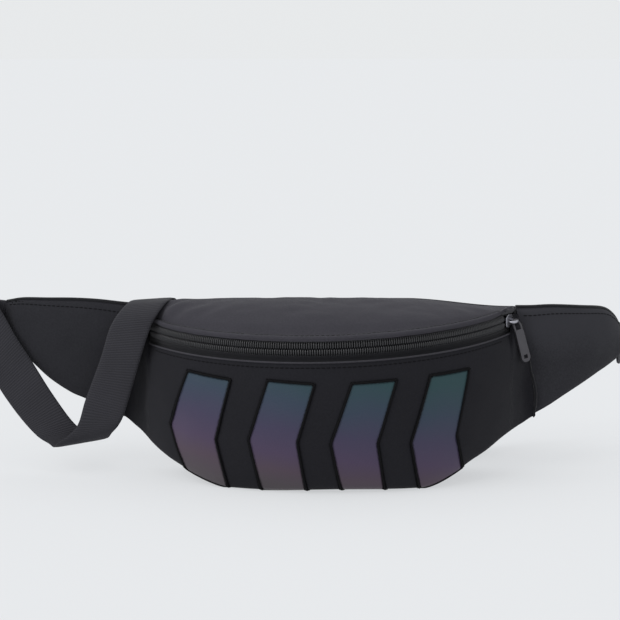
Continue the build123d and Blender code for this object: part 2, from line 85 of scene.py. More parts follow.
# ---------------------------------------------------------------- camera, light and floor
VIEW_WIDTH = 0.400                  # metres across the picture at the object
CAMERA_DISTANCE = 1.20
CAMERA_ELEVATION = math.radians(8.0)
SENSOR = 36.0
AIM = Vector((-0.0129, -0.010, 0.1142))
WORLD_COLOUR = (0.803, 0.8185, 0.8290, 1)
SUNS = (("key", (0.8, 0.5, -0.8), 1.2, 40), ("top", (0.0, -0.35, -1.0), 0.40, 60))
FLOOR_HALF = 60.0                   # metres
FLOOR_COLOUR = (0.22, 0.2228, 0.2266, 1)
FLOOR_GLOW = (0.785, 0.800, 0.818, 1)
FLOOR_GLOW_STRENGTH = 0.700


def make_camera():
    data = bpy.data.cameras.new("camera")
    data.sensor_width = SENSOR
    data.lens = SENSOR * CAMERA_DISTANCE / VIEW_WIDTH
    data.clip_end = 50
    camera = bpy.data.objects.new("camera", data)
    bpy.context.collection.objects.link(camera)
    back = Vector((0, -math.cos(CAMERA_ELEVATION), math.sin(CAMERA_ELEVATION)))
    camera.location = AIM + back * CAMERA_DISTANCE
    camera.rotation_euler = (-back).to_track_quat("-Z", "Y").to_euler()
    bpy.context.scene.camera = camera


def soft_sun(name, towards, strength, degrees):
    data = bpy.data.lights.new(name, "SUN")
    data.energy = strength
    data.angle = math.radians(degrees)
    light = bpy.data.objects.new(name, data)
    bpy.context.collection.objects.link(light)
    light.rotation_euler = Vector(towards).to_track_quat("-Z", "Y").to_euler()


def make_stage():
    world = bpy.data.worlds.new("studio")
    bpy.context.scene.world = world
    world.use_nodes = True
    background = world.node_tree.nodes["Background"]
    background.inputs["Color"].default_value = WORLD_COLOUR
    background.inputs["Strength"].default_value = 1.0
    for name, towards, strength, degrees in SUNS:
        soft_sun(name, towards, strength, degrees)
    bpy.context.scene.view_settings.view_transform = "Standard"
    corners = [(x * FLOOR_HALF, y * FLOOR_HALF, 0) for x, y in ((-1, -1), (1, -1), (1, 1), (-1, 1))]
    mesh = bpy.data.meshes.new("floor")
    mesh.from_pydata(corners, [], [(0, 1, 2, 3)])
    floor = bpy.data.objects.new("floor", mesh)
    bpy.context.collection.objects.link(floor)
    material = bpy.data.materials.new("floor_paper")
    material.use_nodes = True
    shader = material.node_tree.nodes["Principled BSDF"]
    shader.inputs["Base Color"].default_value = FLOOR_COLOUR
    shader.inputs["Emission Color"].default_value = FLOOR_GLOW
    shader.inputs["Emission Strength"].default_value = FLOOR_GLOW_STRENGTH
    shader.inputs["Roughness"].default_value = 1.0
    shader.inputs["Specular IOR Level"].default_value = 0.0
    mesh.materials.append(material)


# ---------------------------------------------------------------- mesh helpers
def smooth_path(points, samples):
    """samples points, evenly spaced, on a smooth curve through the given ones."""
    pts = np.array(points, float)
    padded = np.vstack([2 * pts[0] - pts[1], pts, 2 * pts[-1] - pts[-2]])
    fine = []
    for i in range(1, len(padded) - 2):
        a, b, c, d = padded[i - 1:i + 3]
        t = np.linspace(0, 1, 12, endpoint=False)[:, None]
        fine.append(0.5 * (2 * b + (c - a) * t + (2 * a - 5 * b + 4 * c - d) * t ** 2
                           + (3 * b - a - 3 * c + d) * t ** 3))
    fine = np.vstack(fine + [pts[-1:]])
    return resample(fine, samples)


def distances(line):
    """How far along a line each of its points is."""
    return np.concatenate([[0], np.cumsum(np.linalg.norm(np.diff(line, axis=0), axis=1))])


def resample(line, samples):
    along = distances(line)
    wanted = np.linspace(0, along[-1], samples)
    return np.stack([np.interp(wanted, along, line[:, k]) for k in range(line.shape[1])], axis=1)


def grid_normals(grid):
    du = np.gradient(grid, axis=0)
    dv = np.gradient(grid, axis=1)
    normal = np.cross(du, dv)
    length = np.linalg.norm(normal, axis=2, keepdims=True)
    return normal / np.maximum(length, 1e-9)


def cloth_coordinates(grid):
    """Distances along the sheet in both directions, in millimetres."""
    du = np.linalg.norm(np.diff(grid, axis=0), axis=2).mean(axis=1)
    dv = np.linalg.norm(np.diff(grid, axis=1), axis=2)
    u = np.concatenate([[0], np.cumsum(du)])
    v = np.concatenate([np.zeros((grid.shape[0], 1)), np.cumsum(dv, axis=1)], axis=1)
    return np.stack([np.repeat(u[:, None], grid.shape[1], axis=1), v, np.zeros_like(v)], axis=2)


def new_object(name, points, faces, cloth=None):
    """A smooth-shaded object from points in millimetres, with its cloth coordinates if it has any."""
    mesh = bpy.data.meshes.new(name)
    mesh.from_pydata([tuple(p) for p in np.asarray(points) * MM], [], [tuple(f) for f in faces])
    mesh.validate()
    if cloth is not None:
        layer = mesh.attributes.new("cloth", "FLOAT_VECTOR", "POINT")
        layer.data.foreach_set("vector", (np.asarray(cloth) * MM).astype(np.float32).ravel())
    mesh.polygons.foreach_set("use_smooth", [True] * len(mesh.polygons))
    mesh.update()
    piece = bpy.data.objects.new(name, mesh)
    bpy.context.collection.objects.link(piece)
    return piece


def grid_faces(rows, columns, closed_rows=False, closed_columns=False, flip=False):
    faces = []
    for i in range(rows if closed_rows else rows - 1):
        for j in range(columns if closed_columns else columns - 1):
            a, b = i * columns + j, i * columns + (j + 1) % columns
            c, d = ((i + 1) % rows) * columns + (j + 1) % columns, ((i + 1) % rows) * columns + j
            faces.append((a, d, c, b) if flip else (a, b, c, d))
    return faces


def rim_cells(rows, columns):
    """The cells round a grid's rim, in order."""
    return ([(i, 0) for i in range(rows)] + [(rows - 1, j) for j in range(1, columns)]
            + [(i, columns - 1) for i in range(rows - 2, -1, -1)]
            + [(0, j) for j in range(columns - 2, 0, -1)])


def shell_object(name, outer, inner, cloth_grid, flip=False):
    """A closed piece from two grids, its two faces, with a wall round their rims."""
    rows, columns, _ = outer.shape
    count = rows * columns
    points = np.concatenate([outer.reshape(-1, 3), inner.reshape(-1, 3)])
    faces = grid_faces(rows, columns, flip=flip)
    faces += [tuple(count + k for k in reversed(face)) for face in faces]
    ids = [i * columns + j for i, j in rim_cells(rows, columns)]
    for a, b in zip(ids, ids[1:] + ids[:1]):
        faces.append((a, b, b + count, a + count) if flip else (b, a, a + count, b + count))
    cloth = cloth_coordinates(cloth_grid).reshape(-1, 3)
    return new_object(name, points, faces, np.concatenate([cloth, cloth]))


def sheet_object(name, grid, thickness, flip=False):
    """A cloth sheet with real thickness: the grid is its outer face."""
    normal = grid_normals(grid) * (-1 if flip else 1)
    return shell_object(name, grid, grid - normal * thickness, grid, flip)


def circle(centre, radius, first, second, sides):
    """Points round a centre, starting towards first and turning to second."""
    turns = [2 * math.pi * k / sides for k in range(sides)]
    return [centre + radius * (math.cos(t) * first + math.sin(t) * second) for t in turns]


def ring_faces(base, rings, sides):
    """The faces between rings of points that follow one another from number base."""
    faces = []
    for low in range(base, base + (rings - 1) * sides, sides):
        for k in range(sides):
            m = (k + 1) % sides
            faces.append((low + k, low + m, low + sides + m, low + sides + k))
    return faces


def tube_object(name, path, radius, sides=8, closed=False):
    """A round cord or seam along a path, in millimetres."""
    path = np.asarray(path, float)
    count = len(path)
    tangent = np.gradient(path, axis=0)
    if closed:
        tangent = np.roll(path, -1, axis=0) - np.roll(path, 1, axis=0)
    tangent /= np.maximum(np.linalg.norm(tangent, axis=1, keepdims=True), 1e-9)
    up = np.array([0.0, 0.0, 1.0])
    if abs(tangent[0] @ up) > 0.9:
        up = np.array([0.0, -1.0, 0.0])
    side = np.cross(tangent[0], up)
    side /= np.linalg.norm(side)
    points = []
    for i in range(count):
        side = side - tangent[i] * (side @ tangent[i])
        side /= np.linalg.norm(side)
        points += circle(path[i], radius, side, np.cross(tangent[i], side), sides)
    faces = grid_faces(count, sides, closed_rows=closed, closed_columns=True)
    if not closed:
        faces.append(tuple(range(sides)))
        faces.append(tuple(reversed(range((count - 1) * sides, count * sides))))
    cloth = [(reach, k * radius, 0) for reach in distances(path) for k in range(sides)]
    return new_object(name, points, faces, cloth)


def join(name, pieces):
    """Make one piece of several that share their material and body."""
    bpy.ops.object.select_all(action="DESELECT")
    for piece in pieces:
        piece.select_set(True)
    bpy.context.view_layer.objects.active = pieces[0]
    bpy.ops.object.join()
    pieces[0].name = name
    pieces[0].data.name = name
    return pieces[0]


def smoothstep(t):
    t = np.clip(t, 0, 1)
    return t * t * (3 - 2 * t)


def ripple(x, y, z, scale, seed=0.0):
    """Smooth noise in -1..1 at a place in millimetres."""
    return noise.noise(Vector((x / scale + seed, y / scale + 3.1 * seed, z / scale)))


# ---------------------------------------------------------------- materials
def node(tree, kind, **inputs):
    """A new node; an underscore in an input's name stands for a space."""
    made = tree.nodes.new(kind)
    for name, value in inputs.items():
        made.inputs[name.replace("_", " ")].default_value = value
    return made


def math_node(tree, operation, a, b=None, c=None):
    made = tree.nodes.new("ShaderNodeMath")
    made.operation = operation
    for socket, value in zip(made.inputs, (a, b, c)):
        if value is None:
            continue
        if isinstance(value, (int, float)):
            socket.default_value = value
        else:
            tree.links.new(value, socket)
    return made.outputs[0]


def add_scaled(tree, a, b, amount):
    """a plus b times amount."""
    return math_node(tree, "ADD", a, math_node(tree, "MULTIPLY", b, amount))


def separate(tree, vector):
    split = tree.nodes.new("ShaderNodeSeparateXYZ")
    tree.links.new(vector, split.inputs[0])
    return split.outputs


def mix_colour(tree, factor, a, b):
    made = tree.nodes.new("ShaderNodeMix")
    made.data_type = "RGBA"
    for socket, value in ((made.inputs[0], factor), (made.inputs[6], a), (made.inputs[7], b)):
        if isinstance(value, (int, float)):
            socket.default_value = value
        elif isinstance(value, tuple):
            socket.default_value = (*value, 1.0)[:4]
        else:
            tree.links.new(value, socket)
    return made.outputs[2]


def start_material(name, roughness, specular=0.5, sheen=0.0, metallic=0.0):
    material = bpy.data.materials.new(name)
    material.use_nodes = True
    tree = material.node_tree
    shader = tree.nodes["Principled BSDF"]
    shader.inputs["Roughness"].default_value = roughness
    shader.inputs["Specular IOR Level"].default_value = specular
    shader.inputs["Sheen Weight"].default_value = sheen
    shader.inputs["Sheen Roughness"].default_value = 0.4
    shader.inputs["Metallic"].default_value = metallic
    return material, tree, shader


def cloth_vector(tree):
    made = tree.nodes.new("ShaderNodeAttribute")
    made.attribute_name = "cloth"
    return made.outputs["Vector"]


def object_vector(tree):
    return tree.nodes.new("ShaderNodeTexCoord").outputs["Object"]


def noise_value(tree, vector, scale, detail=3.0, roughness=0.55):
    made = node(tree, "ShaderNodeTexNoise", Scale=scale, Detail=detail, Roughness=roughness)
    tree.links.new(vector, made.inputs["Vector"])
    return made.outputs["Fac"]


def plain_weave(tree, vector, pitch):
    """Height of a plain weave of threads pitch metres apart, from 0 to 1."""
    place = separate(tree, vector)
    turn = math.pi / pitch
    across = math_node(tree, "MULTIPLY", place[0], turn)
    along = math_node(tree, "MULTIPLY", place[1], turn)
    round_u = math_node(tree, "ABSOLUTE", math_node(tree, "SINE", across))
    round_v = math_node(tree, "ABSOLUTE", math_node(tree, "SINE", along))
    over = math_node(tree, "MULTIPLY", math_node(tree, "SINE", across), math_node(tree, "SINE", along))
    over = math_node(tree, "MULTIPLY_ADD", over, 0.5, 0.5)
    first = math_node(tree, "MULTIPLY", round_u, over)
    rest = math_node(tree, "MULTIPLY", round_v, math_node(tree, "SUBTRACT", 1.0, over))
    return math_node(tree, "ADD", first, rest)


def add_bump(tree, shader, height, distance):
    bump = node(tree, "ShaderNodeBump", Strength=1.0, Distance=distance)
    tree.links.new(height, bump.inputs["Height"])
    tree.links.new(bump.outputs[0], shader.inputs["Normal"])


def vary_roughness(tree, shader, amount, spread, least):
    rough = math_node(tree, "MULTIPLY_ADD", amount, spread, least)
    tree.links.new(rough, shader.inputs["Roughness"])


TOP_LIGHT_FROM, TOP_LIGHT_TO = 0.072, 0.098   # painted light: heights, in metres, between which the cloth is painted lighter towards its top


def woven(name, dark, light, pitch, depth, roughness=0.88, sheen=0.05, specular=0.16, rise=0.0):
    """Woven cloth: thread pitch and relief in metres, with soft colour and roughness changes.

    rise is painted light: it moves the upper part of the piece that far from the dark colour towards the
    light one, as if lit from above.
    """
    material, tree, shader = start_material(name, roughness, specular, sheen)
    weave = plain_weave(tree, cloth_vector(tree), pitch)
    broad = noise_value(tree, object_vector(tree), 22.0, 4.0)
    slub = noise_value(tree, object_vector(tree), 900.0, 2.0)
    tone = add_scaled(tree, math_node(tree, "MULTIPLY", broad, 0.6), weave, 0.35)
    tone = math_node(tree, "SUBTRACT", add_scaled(tree, tone, slub, 0.9), 0.425)
    # painted light: the upper part of the piece made lighter, standing in for light from above
    if rise:
        span = node(tree, "ShaderNodeMapRange", From_Min=TOP_LIGHT_FROM, From_Max=TOP_LIGHT_TO)
        tree.links.new(separate(tree, object_vector(tree))[2], span.inputs["Value"])
        tone = add_scaled(tree, tone, span.outputs[0], rise)
    tree.links.new(mix_colour(tree, tone, dark, light), shader.inputs["Base Color"])
    vary_roughness(tree, shader, broad, 0.15, roughness - 0.08)
    add_bump(tree, shader, add_scaled(tree, weave, slub, 0.5), depth)
    return material


RIB_PITCH, WARP_PITCH = 0.0017, 0.0011          # the webbing's, in metres


def webbing_material():
    """Flat ribbed webbing: ribs run across the strap, with fine warp lines along it."""
    material, tree, shader = start_material("webbing", 0.80, 0.22, 0.06)
    vector = cloth_vector(tree)
    place = separate(tree, vector)
    along = math_node(tree, "MULTIPLY", place[0], 2 * math.pi / RIB_PITCH)
    across = math_node(tree, "MULTIPLY", place[1], 2 * math.pi / WARP_PITCH)
    along = add_scaled(tree, along, noise_value(tree, vector, 400.0, 2.0), 1.2)
    rib = math_node(tree, "MULTIPLY_ADD", math_node(tree, "SINE", along), 0.5, 0.5)
    warp = math_node(tree, "MULTIPLY_ADD", math_node(tree, "SINE", across), 0.25, 0.25)
    height = math_node(tree, "ADD", rib, warp)
    broad = noise_value(tree, object_vector(tree), 35.0, 3.0)
    tone = add_scaled(tree, math_node(tree, "MULTIPLY", height, 0.35), broad, 0.5)
    colour = mix_colour(tree, tone, (0.012, 0.0118, 0.0145), (0.036, 0.0352, 0.0430))
    tree.links.new(colour, shader.inputs["Base Color"])
    add_bump(tree, shader, height, 0.00018)
    return material


FOIL_TALL = 0.077                   # the height over which its colours run, in metres
# painted reflection: the foil's view-dependent colour shift, set as fixed colours by height
FOIL_PAINTED_SHIFT_STOPS = (
    (0.00, (0.064, 0.053, 0.060)), (0.16, (0.070, 0.047, 0.068)), (0.32, (0.060, 0.040, 0.082)),
    (0.52, (0.043, 0.037, 0.078)), (0.74, (0.025, 0.042, 0.070)), (1.00, (0.014, 0.050, 0.056)),
)


def foil_material():
    """Coated holographic cloth. Its colour shift is partly its own and partly painted reflection: the
    view-dependent colours are painted as a fixed run from teal at the top through violet to brown.
    """
    material, tree, shader = start_material("chevron_foil", 0.5, 0.22, 0.05)
    place = object_vector(tree)
    split = separate(tree, place)
    # painted reflection: colour set by height and x, in place of the angle of view
    factor = add_scaled(tree, math_node(tree, "MULTIPLY", split[2], 1 / FOIL_TALL), split[0], 1.6)
    factor = add_scaled(tree, factor, noise_value(tree, place, 30.0, 3.0), 0.16)
    factor = math_node(tree, "SUBTRACT", factor, 0.08)
    ramp = tree.nodes.new("ShaderNodeValToRGB")
    for index, (at, colour) in enumerate(FOIL_PAINTED_SHIFT_STOPS):
        stop = ramp.color_ramp.elements[index] if index < 2 else ramp.color_ramp.elements.new(at)
        stop.position = at
        stop.color = (*colour, 1)
    tree.links.new(factor, ramp.inputs[0])
    weave = plain_weave(tree, cloth_vector(tree), 0.0009)
    grain = noise_value(tree, place, 1400.0, 2.0)
    tone = math_node(tree, "MULTIPLY", grain, 0.16)
    colour = mix_colour(tree, tone, ramp.outputs[0], (0.10, 0.09, 0.11))
    tree.links.new(colour, shader.inputs["Base Color"])
    vary_roughness(tree, shader, grain, 0.2, 0.34)
    add_bump(tree, shader, math_node(tree, "ADD", weave, grain), 0.00006)
    return material


def solid_material(name, colour, roughness, metallic=0.0, specular=0.5, grain=0.00003):
    """Moulded plastic, thread or metal with fine grain and uneven gloss."""
    material, tree, shader = start_material(name, roughness, specular, 0.0, metallic)
    place = object_vector(tree)
    broad = noise_value(tree, place, 120.0, 3.0)
    fine = noise_value(tree, place, 1800.0, 2.0)
    light = tuple(min(1.0, c * 1.5 + 0.004) for c in colour)
    tree.links.new(mix_colour(tree, broad, colour, light), shader.inputs["Base Color"])
    vary_roughness(tree, shader, broad, 0.18, roughness - 0.07)
    add_bump(tree, shader, fine, grain)
    return material


MATERIALS = {}
CLOTH = (0.0006, 0.00010)           # the bag cloth's thread pitch and relief, in metres
# For each woven material: its name, its dark and light colours, then woven()'s other numbers.
WOVEN = {
    "shell": ("shell_fabric", (0.0072, 0.0070, 0.0092), (0.0150, 0.0148, 0.0188), *CLOTH),
    # painted light: the lid's cloth is the shell cloth made lighter, standing in for the light that falls on
    # it from above
    "shell_top_painted_light": ("shell_fabric_top_painted_light", (0.0265, 0.0253, 0.0313), (0.0490, 0.0470, 0.0568), *CLOTH),
    # painted light: the wings' cloth is the shell cloth made lighter, for the light that the wings catch
    "shell_wing_painted_light": ("shell_fabric_wing_painted_light", (0.0118, 0.0118, 0.0146), (0.0255, 0.0253, 0.0302), *CLOTH),
    # painted light: the right wing's copy, also painted lighter towards its top (the last number, 0.65)
    "shell_wing_right_painted_light": ("shell_fabric_wing_right_painted_light", (0.0098, 0.0098, 0.0120), (0.0320, 0.0318, 0.0376),
                         *CLOTH, 0.88, 0.05, 0.16, 0.65),
    # painted highlight: a lighter copy of the shell cloth, for the light line along the front panel's folded
    # edge
    "edge": ("shell_fabric_edge_painted_highlight", (0.030, 0.029, 0.034), (0.058, 0.056, 0.066), *CLOTH),
    "lining": ("lining", (0.030, 0.030, 0.034), (0.050, 0.050, 0.056), 0.0004, 0.00004, 0.6, 0.1),
    "mesh": ("back_mesh", (0.008, 0.008, 0.010), (0.030, 0.030, 0.034), 0.0022, 0.00050),
    "tape": ("tape", (0.005, 0.005, 0.006), (0.014, 0.014, 0.017), 0.0005, 0.00008, 0.8, 0.2),
}
# For each solid material: its name and colour, then solid_material()'s other numbers.
SOLID = {
    "thread": ("stitching", (0.003, 0.003, 0.0036), 0.9, 0.0, 0.1),
    "thread_light": ("stitching_light", (0.020, 0.020, 0.023), 0.6, 0.0, 0.4),
    "coil": ("zip_coil", (0.012, 0.012, 0.014), 0.34, 0.0, 0.6),
    "metal": ("slider_metal", (0.30, 0.30, 0.33), 0.28, 1.0),
    "enamel": ("puller_enamel", (0.048, 0.046, 0.052), 0.30, 0.5, 0.6, 0.00002),
    "plastic": ("buckle_plastic", (0.012, 0.012, 0.014), 0.42, 0.0, 0.5),
}


def make_materials():
    for key, values in WOVEN.items():
        MATERIALS[key] = woven(*values)
    MATERIALS["webbing"] = webbing_material()
    MATERIALS["foil"] = foil_material()
    for key, values in SOLID.items():
        MATERIALS[key] = solid_material(*values)


def finish_piece(piece, material, slot, body, *nodes):
    """Give a piece its material and body, and say which CAD nodes it stands for. The slot argument is not
    used.
    """
    piece.data.materials.clear()
    piece.data.materials.append(MATERIALS[material])
    if body:
        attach(piece, body)
    if nodes:
        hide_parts(*nodes)


# ---------------------------------------------------------------- the pouch's surface
FOLD_R = ZIP_R + 3.0                # where the front panel folds in to the zip
FOLD_Z = 85.8                       # that fold's height at the middle of the front
BELLY_R = ZIP_R + 8.6               # the front panel at its fullest
FLANGE_Y = BACK_Y - 8.2             # the pouch's front is never further back than this
FLANGE_BLEND = 4.0                  # how softly the belly runs out into that flat strip
CORNER_X, CORNER_RISE = 119.5, 11.8 # past the zip's ends the front panel is this much taller
BASE_LIFT, LIFT_X, LIFT_WIDE = 1.5, 8, 38       # the base's front edge stands off the floor near its middle
# Height of the underside at each side, as (half width, height).
KEEL_LEFT = [(0, 0), (68, 0), (74, 1), (84, 4.4), (92, 7.8), (102, 12.2), (117, 20.8), (130, 30.4),
             (138, 37.6)]
KEEL_RIGHT = [(0, 0), (60, 0), (66, 0.5), (76, 4.8), (87, 11.5), (98, 17.4), (114, 25.8), (125, 29.8),
              (130, 32.2), (138, 37.4)]
SEAM_BOW = 1.7                      # over 1, the wing seams bow outwards


def arc_y(x, radius):
    return ARC_Y - math.sqrt(max(radius ** 2 - x ** 2, 1.0))


def seam_z(x):
    """Height of the wing seam at half width x."""
    share = max((HALF_WIDE - abs(x)) / (HALF_WIDE - HALF_TOP), 0) ** (1 / SEAM_BOW)
    return SEAM_FOOT_Z + share * (SEAM_TOP_Z - SEAM_FOOT_Z)


def seam_x(z):
    share = max((z - SEAM_FOOT_Z) / (SEAM_TOP_Z - SEAM_FOOT_Z), 0)
    return HALF_WIDE - share ** SEAM_BOW * (HALF_WIDE - HALF_TOP)


def keel_z(x):
    """The underside's height, rounded a little at its corners."""
    keel = np.array(KEEL_LEFT if x < 0 else KEEL_RIGHT)
    spread = (-4, -2, 0, 2, 4)
    return sum(float(np.interp(abs(x) + d, keel[:, 0], keel[:, 1])) for d in spread) / len(spread)


def zip_height(x, y):
    """How far the zip's plane stands over its front at this place."""
    return (y - arc_y(0, ZIP_R)) * ZIP_TILT + x * ZIP_ROLL


def fold_z(x):
    """Top edge of the front panel; past the zip's ends it runs up to the top panel."""
    y = min(arc_y(x, FOLD_R), FLANGE_Y)
    corner = CORNER_RISE * smoothstep((abs(x) - CORNER_X) / 3.0)
    return FOLD_Z + zip_height(x, y) + float(corner)


def pouch_section(x, samples):
    """The pouch's outer line at x, from the zip fold down round the base to the back's foot."""
    low = keel_z(x)
    top = max(min(fold_z(x), seam_z(x) + 0.5), low + 0.4)
    tall = top - low
    y_top = min(arc_y(x, FOLD_R), FLANGE_Y)
    y_arc = arc_y(x, BELLY_R)
    y_flat = FLANGE_Y - 0.4 * smoothstep((HALF_WIDE - abs(x)) / 10)
    y_full = -FLANGE_BLEND * math.log(math.exp(-y_arc / FLANGE_BLEND) + math.exp(-y_flat / FLANGE_BLEND))
    deep = BACK_Y - y_full
    lift = BASE_LIFT * math.exp(-((x - LIFT_X) / LIFT_WIDE) ** 2)
    shoulder = y_top * 0.3 + y_full * 0.7
    keys = [
        (y_top, top), (shoulder, low + 0.82 * tall), (y_full, low + 0.56 * tall),
        (y_full + 0.04 * deep, low + 0.26 * tall), (y_full + 0.10 * deep, low + lift + 0.07 * tall),
        (y_full + 0.19 * deep, low + lift), (y_full + 0.50 * deep, low), (y_full + 0.80 * deep, low),
        (BACK_Y - 0.05 * deep, low + 0.06 * tall), (BACK_Y, low + 0.16 * tall),
    ]
    line = smooth_path(keys, samples)
    line[:, 1] = np.maximum(line[:, 1], low)
    return line


def dense_ends(half, columns):
    """Values of x from -half to half, closer together near the ends."""
    return [half * math.sin(u * 1.45) / math.sin(1.45) for u in np.linspace(-1, 1, columns)]


def pouch_grid(columns, rows):
    grid = np.zeros((columns, rows, 3))
    for i, x in enumerate(dense_ends(HALF_WIDE - 0.1, columns)):
        grid[i, :, 0] = x
        grid[i, :, 1:] = pouch_section(x, rows)
    return grid


def pouch_crease(grid):
    """Soft folds in the front: shallow dents, and pulls towards the seams and the zip's end."""
    normal = grid_normals(grid)
    out = grid.copy()
    for i in range(grid.shape[0]):
        for j in range(grid.shape[1]):
            x, y, z = grid[i, j]
            calm = smoothstep((z - 1.0) / 12.0) * smoothstep((fold_z(x) - z) / 8.0)
            calm *= smoothstep((HALF_WIDE - abs(x) + 2) / 14.0)
            wave = 1.0 * ripple(x, y, z * 0.7, 46.0, 1.3) + 0.30 * ripple(x, y, z, 17.0, 4.0)
            end = smoothstep((abs(x) - 80) / 30.0)
            pull = math.sin((z + 0.55 * abs(x) + 4 * ripple(x, y, z, 30, 9.0)) / 5.5)
            out[i, j] -= normal[i, j] * (wave + 0.45 * pull * end) * float(calm)
    return out


def offset_grid(grid, distance):
    """The same sheet, distance millimetres outside (or inside, if negative)."""
    return grid - grid_normals(grid) * distance


# Thicknesses of the cloth pieces, and the linings' distances inside the faces that they line.
FRONT_THICK, LID_THICK, PATCH_THICK, TAPE_THICK = 1.4, 1.2, 0.4, 0.6
FRONT_LINING, LID_LINING = -2.4, 1.9


def make_pouch():
    panel = sheet_object("pouch_front", POUCH, FRONT_THICK, flip=True)
    finish_piece(panel, "shell", "shell_fabric", "root", "front_panel", "front_foam")
    lining_grid = offset_grid(POUCH[6:-6:2, 1::2], FRONT_LINING)
    lining = sheet_object("pouch_lining", lining_grid, 0.5, flip=True)
    finish_piece(lining, "lining", "lining", "root", "front_lining")


CLEAR_Z = 0.8                       # applied pieces end this far over the floor


class Surface:
    """Finds places on the pouch's front by x and by the distance down from the zip fold."""

    def __init__(self, grid):
        self.x = grid[:, :, 0].mean(axis=1)
        self.grid = grid
        self.normal = -grid_normals(grid)
        steps = np.linalg.norm(np.diff(grid, axis=1), axis=2)
        self.down = np.concatenate([np.zeros((len(grid), 1)), np.cumsum(steps, axis=1)], axis=1)

    def between(self, x):
        i = int(np.clip(np.searchsorted(self.x, x) - 1, 0, len(self.x) - 2))
        share = (x - self.x[i]) / (self.x[i + 1] - self.x[i])
        return i, float(np.clip(share, 0, 1))

    def reach(self, x, z):
        """Distance down the front to height z."""
        i, share = self.between(x)
        found = []
        for k in (i, i + 1):
            heights = self.grid[k, :, 2]
            lowest = int(np.argmin(heights))
            found.append(np.interp(-z, -heights[:lowest + 1], self.down[k, :lowest + 1]))
        return found[0] * (1 - share) + found[1] * share

    def foot(self, x):
        """Distance down the front to where it meets the base."""
        return self.reach(x, keel_z(x) + 0.6)

    def at(self, x, down, proud=0.0):
        i, share = self.between(x)
        place = np.zeros(3)
        normal = np.zeros(3)
        for k, weight in ((i, 1 - share), (i + 1, share)):
            for axis in range(3):
                place[axis] += weight * np.interp(down, self.down[k], self.grid[k, :, axis])
                normal[axis] += weight * np.interp(down, self.down[k], self.normal[k, :, axis])
        normal /= np.linalg.norm(normal)
        place += np.array([normal[0], normal[1], max(normal[2], -0.3)]) * proud
        place[2] = max(place[2], CLEAR_Z)
        return place, normal


# ---------------------------------------------------------------- chevrons
# Each chevron seen from the front: the ends of its top edge and of its bend, as (x, z), and the two
# values of x where it meets the base.
CHEVRONS = [
    [(-91.4, 75.3), (-63.3, 72.7), (-104.2, 38.2), (-73.4, 33.0), -93.5, -65.0],
    [(-39.6, 73.9), (-10.1, 72.3), (-51.8, 35.4), (-20.9, 35.4), -43.2, -13.8],
    [(13.4, 72.7), (41.7, 74.2), (0.2, 34.6), (29.6, 34.5), 9.5, 36.0],
    [(63.6, 75.3), (89.3, 77.0), (51.0, 33.0), (81.0, 34.8), 57.9, 86.0],
]
PATCH_WRAP = 0.5                    # the patches run this far on under the base
PATCH_PROUD, CORD_PROUD, THREAD_PROUD = 0.45, 0.35, 0.55    # how far each stands off the front


def edge_line(top, bend, foot_x, samples):
    """One long edge of a chevron as (x, distance down) pairs."""
    keys = [(top[0], FRONT.reach(*top)), (bend[0], FRONT.reach(*bend)),
            (foot_x, FRONT.foot(foot_x) + PATCH_WRAP)]
    upper = samples // 2
    line = []
    for k in range(samples):
        if k <= upper:
            share, a, b = k / upper, keys[0], keys[1]
        else:
            share, a, b = (k - upper) / (samples - 1 - upper), keys[1], keys[2]
        line.append((a[0] + share * (b[0] - a[0]), a[1] + share * (b[1] - a[1])))
    return np.array(line)


def make_chevrons():
    rows, columns = 61, 25
    for number, (top_l, top_r, bend_l, bend_r, foot_l, foot_r) in enumerate(CHEVRONS, start=1):
        left = edge_line(top_l, bend_l, foot_l, rows)
        right = edge_line(top_r, bend_r, foot_r, rows)
        grid = np.zeros((rows, columns, 3))
        for i in range(rows):
            for j in range(columns):
                share = j / (columns - 1)
                x, down = left[i] * (1 - share) + right[i] * share
                grid[i, j] = FRONT.at(x, down, PATCH_PROUD)[0]
        patch = sheet_object(f"chevron_patch_{number}", grid, PATCH_THICK)
        finish_piece(patch, "foil", "chevron_foil", "root", f"chevron_panel_{number}")
        border = [*left, *(left[-1] + (right[-1] - left[-1]) * s for s in np.linspace(0, 1, 12)),
                  *right[::-1], *(right[0] + (left[0] - right[0]) * s for s in np.linspace(0, 1, 12))]
        stitch = satin_border(f"chevron_stitch_{number}", np.array(border))
        finish_piece(stitch, "thread", "stitching", "root", f"chevron_stitching_{number}")


def satin_border(name, border, pitch=0.42, half=1.2, radius=0.33):
    """A dense zigzag of thread over a patch's raw edge, with a thin cord under it."""
    line = resample(border, int(distances(border)[-1] / pitch))
    ahead = np.roll(line, -3, axis=0) - np.roll(line, 3, axis=0)
    ahead /= np.maximum(np.linalg.norm(ahead, axis=1, keepdims=True), 1e-6)
    side = np.stack([-ahead[:, 1], ahead[:, 0]], axis=1)
    zigzag = []
    for k, place in enumerate(line):
        reach = half * (1 if k % 2 else -1) * (1 + 0.10 * ripple(k, 0, 0, 9.0, 2.0))
        x, down = place + side[k] * reach
        zigzag.append(FRONT.at(x, down, THREAD_PROUD + 0.1 * ripple(k, 5, 0, 4.0))[0])
    cord = [FRONT.at(x, down, CORD_PROUD)[0] for x, down in line[::2]]
    thread = tube_object(name, zigzag, radius, 5)
    core = tube_object(name + "_core", cord, 0.75, 6, closed=True)
    return join(name, [thread, core])


# ---------------------------------------------------------------- stitches and tapes
# A stitch's thickness along it: it dives into the cloth at both ends.
STITCH_SHAPE = ((0.0, 0.45), (0.12, 0.95), (0.5, 1.1), (0.88, 0.95), (1.0, 0.45))


